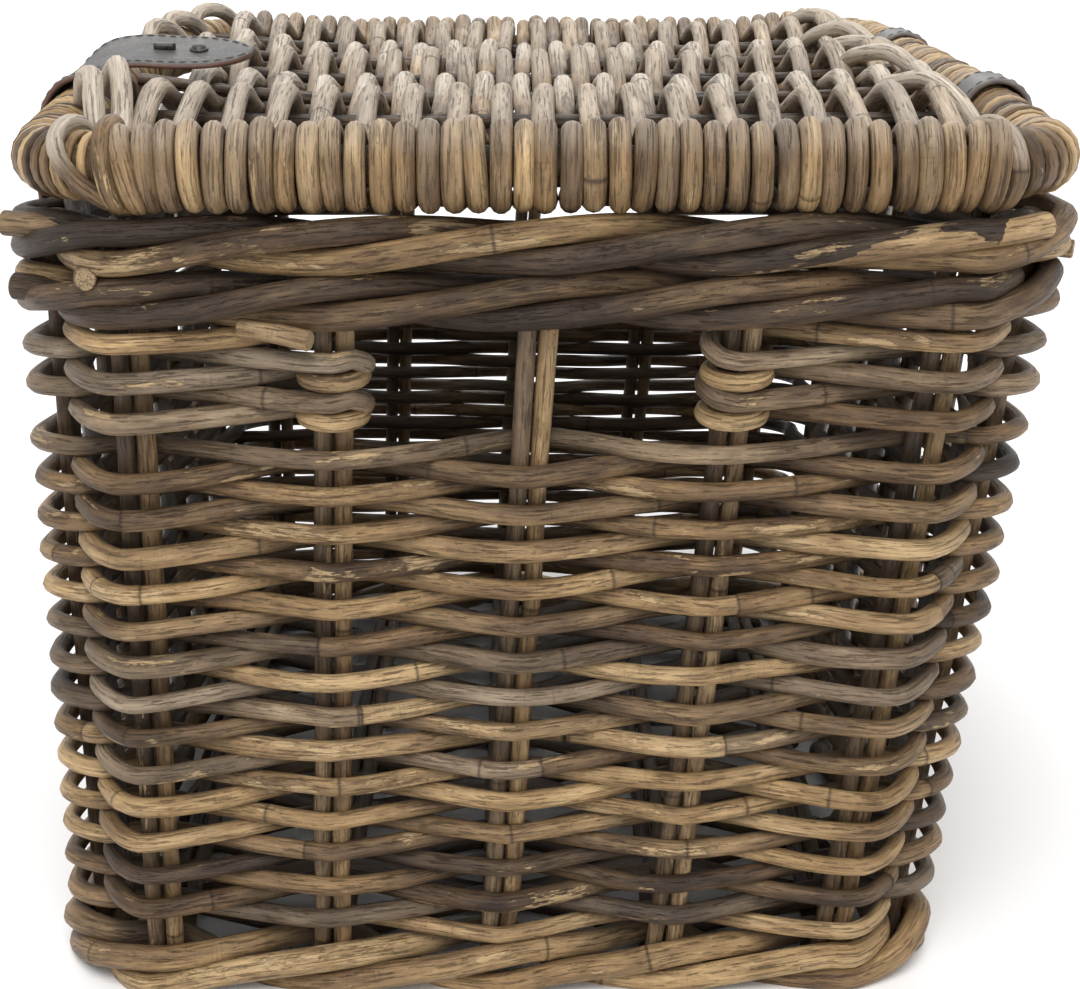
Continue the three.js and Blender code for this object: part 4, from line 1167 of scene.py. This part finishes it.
loop_out = binding_outer + GAP + LEATHER / 2
leather_out = stand_off(BORDER_ROD) + BORDER_ROD / 2 + GAP + LEATHER / 2
hinge_z = rim_top + LID_GAP / 2
STITCH_PITCH, STITCH_LENGTH, STITCH_RADIUS, STITCH_SIDES = 4.2, 2.8, 0.3, 6
# How far the stitches are from the edge, and at least from the middle line
STITCH_INSET, LEAST_STITCHED = 2.9, 1.5
# Places along a stitch: how far it stands off the leather, and how thick it is, as shares of its radius
STITCH_RISE, STITCH_TAPER = np.array([-0.1, 0.4, 0.5, 0.4, -0.1]), np.array([0.6, 1, 1, 1, 0.6])
# The section of a strip, as shares of its width and thickness: its lower half, and the same turned over
HIDE_HALF = [(-0.5, -0.3), (-0.46, -0.5), (-0.25, -0.5), (0, -0.5), (0.25, -0.5), (0.46, -0.5), (0.5, -0.3)]
HIDE_SECTION = HIDE_HALF + [(-a, -b) for a, b in HIDE_HALF]
# From which share of its width a strip shows its raw edge, how close its sections are, between which bends
# per millimetre it wears, and from which share of a rounded end it starts
HIDE_EDGE, HIDE_STEP, WEAR_BENDS, ROUND_FROM = 0.49, 1.5, (0.03, 0.12), 0.02


def add_stitches(shape, path, across, upward, widths, first, last):
    """A row of stitches along both edges of a strip, between two shares of its length."""
    along = lengths_along(path)
    bow = (STITCH_RISE * STITCH_RADIUS + LEATHER / 2)[:, None]
    thick = STITCH_RADIUS * STITCH_TAPER
    for middle in np.arange(first * along[-1], last * along[-1], STITCH_PITCH):
        spots = middle + STITCH_LENGTH * np.linspace(-0.5, 0.5, len(thick))
        at = lambda field: np.stack([np.interp(spots, along, field[:, k]) for k in range(field.shape[1])], 1)
        reach = at((widths / 2 - STITCH_INSET)[:, None])
        if reach.min() < LEAST_STITCHED:
            continue
        for side in (-1, 1):
            thread = at(path) + side * reach * at(across) + bow * at(upward)
            arms = round_arms(thread, thick, STITCH_SIDES)
            add_tube(shape, thread, arms, spots, (0, 0, 0), (0, 0, 0), ink=1)


def leather_strip(shape, run, y, width, ends, stitched=(0.02, 0.98), tilt=None, raw=0.7):
    """A strip of leather along a run of [x, z] points. ends are the lengths over which its two ends round
    off, tilt(path) turns it about its middle line and raw is how red its edges are."""
    path, _ = smooth_path([(x, y, z) for x, z in run], HIDE_STEP)
    along = lengths_along(path)
    widths = np.full(len(path), float(width))
    for end, distance in zip(ends, (along, along[-1] - along)):
        if end:
            widths *= np.sqrt(1 - (1 - np.clip(distance / end, ROUND_FROM, 1)) ** 2)
    ways = tangents_of(path)
    ups = unit(np.cross(AWAY, ways))
    across = unit(np.cross(ups, ways))
    if tilt is not None:
        angle = tilt(path)[:, None]
        across = across * np.cos(angle) - ups * np.sin(angle)
    upward = np.cross(ways, across)
    bend = np.linalg.norm(np.gradient(ways, axis=0), axis=1) / np.gradient(along)
    a, b = np.array(HIDE_SECTION).T
    points = (path[:, None] + widths[:, None, None] * a[None, :, None] * across[:, None]
              + LEATHER * b[None, :, None] * upward[:, None])
    level = np.broadcast_to(LEATHER * b, points.shape[:2])
    grain = np.stack([np.repeat(along[:, None], len(a), 1), widths[:, None] * a, level], 2)
    marks = np.zeros(points.shape)
    marks[:, :, 0] = smoothstep(*WEAR_BENDS, bend)[:, None]
    marks[:, :, 1] = raw * (np.abs(a) > HIDE_EDGE)
    sides = len(a)
    last = (len(path) - 1) * sides
    faces = tube_faces(len(path), sides) + [tuple(range(sides))[::-1], tuple(range(last, last + sides))]
    shape.add(points.reshape(-1, 3), faces, grain.reshape(-1, 3), (0, 0, 0), marks.reshape(-1, 3))
    add_stitches(shape, path, across, upward, widths, *stitched)


# Shares of a stud's radius and height, from its foot to its crown
STUD_PROFILE = [(1.0, 0), (1.0, 0.22), (0.93, 0.34), (0.84, 0.36), (0.8, 0.42), (0.72, 0.66), (0.55, 0.86),
                (0.3, 0.97), (0.06, 1)]
STUD_SIDES = 28


def stud(node, radius, height, base, direction):
    """A domed head on a low rim."""
    sides = STUD_SIDES
    direction = unit(np.asarray(direction, float))
    first = unit(square_to(direction))
    second = np.cross(direction, first)
    angles = 2 * math.pi * np.arange(sides) / sides
    spokes = np.cos(angles)[:, None] * first + np.sin(angles)[:, None] * second
    points = np.vstack([base + spokes * radius * r + direction * height * h for r, h in STUD_PROFILE])
    last = (len(STUD_PROFILE) - 1) * sides
    crown, foot = tuple(range(last, last + sides)), tuple(range(sides))[::-1]
    faces = tube_faces(len(STUD_PROFILE), sides) + [crown, foot]
    shape = Shape()
    shape.add(points, faces, points - base, (0, 0, 0), (0, 0, 0))
    settle(shape, node, METAL)


def bend_over(piece, nodes):
    """Leather that crosses a joint: hides the parts that it stands for and bakes its placement into its mesh.
    """
    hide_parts(*nodes)
    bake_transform(piece)


# How much closer the loop lies than the solid, two heights about the hinge line, how far its foot rounds off,
# which share of it is stitched, and how red its edges are
HINGE_SNUG, HINGE_BEND, HINGE_ROUND, HINGE_STITCHED, HINGE_RAW = 0.7, (-2.2, 1.7), 8, (0.03, 0.75), 0.25


def hinges():
    """One piece of leather for each hinge: on the border, over the gap and round the lid's frame."""
    snug = loop_out - HINGE_SNUG
    slant = snug * math.tan(math.pi / 8)
    x = frame_half_x
    face_at = lambda height: wall_at(height)[2] + wall_at(height)[0] + leather_out
    foot = hinge_z - HINGE_DROP
    rivet_z = (rim_up + foot) / 2
    outwards = unit(np.array([rim_up - foot, 0, face_at(foot) - face_at(rim_up)]))
    for name, y in hinge_places.items():
        z = warp(np.array([(x, y, frame_z)]))[0, 2]
        leaf = [(face_at(level), level) for level in (foot, rivet_z, rim_up)] + [(x + loop_out, hinge_z)]
        loop = [(x + snug, z - slant), (x + snug, z + slant), (x + slant, z + snug),
                (x - slant, z + snug), (x - snug, z + slant), (x - snug, z - slant),
                (x - slant, z - snug), (x + slant / 2, z - snug)]
        shape = Shape()
        leather_strip(shape, leaf + loop, y, HINGE_WIDTH, (HINGE_ROUND, 0), HINGE_STITCHED, raw=HINGE_RAW)
        nodes = (f"hinge_leaf_{name}", f"hinge_loop_{name}")
        bend_over(shape.make(f"hinge_{name}_look", HIDE, THREAD), nodes)
        seat = np.array([face_at(rivet_z), y, rivet_z]) + outwards * LEATHER / 2
        stud(f"hinge_rivet_{name}", RIVET_RADIUS, STUD_HEIGHT, seat, outwards)


# The strap's top, as [x, z] from its tip at its own height, and its fall, as [x, z] from the lid's edge
STRAP_TOP = [(0, 0), (-14, 0), (-30, 0.3), (-42, 0.8)]
STRAP_FALL = [(11, -0.4), (4, -3.4), (-3, -7.4), (-9, -12), (-13, -18)]
# Where the tail starts, how far the strap's ends round off, how much wider it is than the solid, a distance
# from its pivot, and the heights below its top between which it tilts
TAIL_OUT, TAIL_START = 2, 3
STRAP_ROUND, STRAP_EXTRA, STRAP_BEND, TILT_LEVELS = (26, 20), 2, 4, (-10, -1)
# How far the fasteners stand off the strap, and the bar's section, samples and rounded ends
FASTENER_LIFT, BAR_LIFT, BAR_FLATNESS, BAR_SAMPLES, BAR_END, BAR_POWER = 0.1, 0.4, 0.8, 13, 0.15, 6
CATCH_ROUND = 12


def strap():
    """The closing strap in one piece, with its stud and bar, its snap, and the catch on the border."""
    top_z = strap_top_z + STRAP_LIFT
    tip = strap_tip
    border_x = lambda height: wall_at(height)[2] - wall_at(height)[0] - leather_out
    catch_foot = rim_up - CATCH_LENGTH
    post_z = (rim_up + catch_foot) / 2
    tail_x = border_x(post_z) - LEATHER - 2 * GAP - POST_HEIGHT
    pivot_z = frame_z - loop_out / 2
    tail_foot = pivot_z - GAP - TAIL_LENGTH
    edge_x = -frame_half_x
    run = [(tip + x, top_z + z) for x, z in STRAP_TOP] + [(edge_x + x, top_z + z) for x, z in STRAP_FALL]
    run += [(tail_x + TAIL_OUT, frame_z + TAIL_START), (tail_x, pivot_z),
            (tail_x, (pivot_z + tail_foot) / 2), (tail_x, tail_foot)]
    shape = Shape()
    leather_strip(shape, run, strap_place, STRAP_WIDTH + STRAP_EXTRA, STRAP_ROUND,
                  tilt=lambda path: STRAP_TILT * smoothstep(*TILT_LEVELS, path[:, 2] - top_z))
    bend_over(shape.make("strap_look", HIDE, THREAD), ("strap_top", "strap_tail"))

    lean = np.array([0, -math.sin(STRAP_TILT), math.cos(STRAP_TILT)])
    top_at = lambda x: np.array([x, strap_place, top_z + FASTENER_LIFT]) + lean * LEATHER / 2
    outwards = np.array([-1.0, 0, 0])
    snap_seat = np.array([tail_x - LEATHER / 2, strap_place, post_z])
    post_seat = np.array([border_x(post_z) - LEATHER / 2, strap_place, post_z])
    stud("strap_stud", STUD_RADIUS, STUD_HEIGHT, top_at(tip - STUD_FROM_TIP), lean)
    stud("tail_snap", STUD_RADIUS, STUD_HEIGHT, snap_seat, outwards)
    stud("catch_post", STUD_RADIUS, POST_HEIGHT, post_seat, outwards)

    reach = np.linspace(-0.5, 0.5, BAR_SAMPLES)
    seat = top_at(tip - BAR_FROM_TIP) + lean * BAR_THICKNESS * BAR_LIFT
    path = seat + reach[:, None] * np.array([BAR_LENGTH, 0, 0])
    swell = BAR_THICKNESS * np.sqrt(np.clip(1 - (2 * reach) ** BAR_POWER, BAR_END, 1))
    bar = Shape()
    add_strip(bar, path, np.tile(lean, (len(path), 1)), swell, BAR_THICKNESS * BAR_FLATNESS, (0, 0, 0))
    settle(bar, "strap_bar", METAL)

    run = [(border_x(z), z) for z in (rim_up, post_z, catch_foot)]
    tab = Shape()
    leather_strip(tab, run, strap_place, STRAP_WIDTH, (0, CATCH_ROUND))
    settle(tab, "catch_tab", HIDE, THREAD)


stakes()
base_mat()
wall_weavers()
hole_weavers()
wale("foot_wale", FOOT_ROD, FOOT_RADIUS, (foot_low, foot_up, foot_in), FOOT)
for name, low_line, upper_line, palette, ends in (("upper_wale", upper_low, upper_up, UPPER, UPPER_ENDS),
                                                  ("rim_wale", rim_low, rim_up, RIM, RIM_ENDS)):
    levels = (low_line, upper_line, (low_line + upper_line) / 2)
    wale(name, BORDER_ROD, BORDER_RADIUS, levels, palette, BORDER_SHADE, ends)
lid_frame()
lid_cross_rods()
lid_canes()
lid_bindings()
hinges()
strap()


# Stage

FOCAL_PIXELS, IMAGE_WIDTH = 2021, 1080
CAMERA_PLACE = np.array([-8, -896, 417])
CAMERA_PITCH, CAMERA_YAW = 17.60, -0.51
FLOOR_REACH, FLOOR_WHITE, FLOOR_ROUGHNESS = 30, (252, 252, 252), 0.9
WORLD_LIGHT = 0.46
# Where each light comes from, its strength and how wide it is, in degrees
SUNS = {"key": ((-0.1, -0.55, 1.0), 1.9, 40),
        "fill": ((0.25, -1.0, 0.4), 0.75, 60),
        "back": ((0, 0.8, 0.9), 1.2, 60)}


def stage():
    """A white floor that fills the view, under a sky that looks white, soft light from above, in front and
    behind, and the photograph's camera."""
    scene = bpy.context.scene
    floor_mesh = bpy.data.meshes.new("floor")
    corners = [(x * FLOOR_REACH, y * FLOOR_REACH, 0) for x, y in ((-1, -1), (1, -1), (1, 1), (-1, 1))]
    floor_mesh.from_pydata(corners, [], [(0, 1, 2, 3)])
    floor = bpy.data.objects.new("floor", floor_mesh)
    scene.collection.objects.link(floor)
    white = Nodes("floor")
    white.shader.inputs["Base Color"].default_value = linear(*FLOOR_WHITE)
    white.shader.inputs["Roughness"].default_value = FLOOR_ROUGHNESS
    white.shader.inputs["Specular IOR Level"].default_value = 0.0
    floor_mesh.materials.append(white.material)

    scene.world = bpy.data.worlds.new("studio")
    scene.world.use_nodes = True
    tree = scene.world.node_tree
    sky = tree.nodes["Background"]
    sky.inputs["Color"].default_value = (1, 1, 1, 1)
    rays = tree.nodes.new("ShaderNodeLightPath")
    strength = sky.inputs["Strength"]
    for ray in ("Is Camera Ray", "Is Glossy Ray", "Is Transmission Ray"):
        highest = tree.nodes.new("ShaderNodeMath")
        highest.operation = "MAXIMUM"
        tree.links.new(rays.outputs[ray], highest.inputs[0])
        tree.links.new(highest.outputs[0], strength)
        strength = highest.inputs[1]
    strength.default_value = WORLD_LIGHT

    for name, ((x, y, z), energy, angle) in SUNS.items():
        light = bpy.data.lights.new(name, "SUN")
        light.energy = energy
        light.angle = math.radians(angle)
        lamp = bpy.data.objects.new(name, light)
        lamp.rotation_euler = (math.atan2(math.hypot(x, y), z), 0, math.atan2(x, -y))
        scene.collection.objects.link(lamp)

    lens = bpy.data.cameras.new("camera")
    lens.sensor_fit = "HORIZONTAL"
    lens.lens = lens.sensor_width * FOCAL_PIXELS / IMAGE_WIDTH
    camera = bpy.data.objects.new("camera", lens)
    camera.location = (CAMERA_PLACE + SHIFT) * MM
    camera.rotation_euler = (math.radians(90 - CAMERA_PITCH), 0, math.radians(CAMERA_YAW))
    scene.collection.objects.link(camera)
    scene.camera = camera
    scene.view_settings.view_transform = "Standard"


stage()
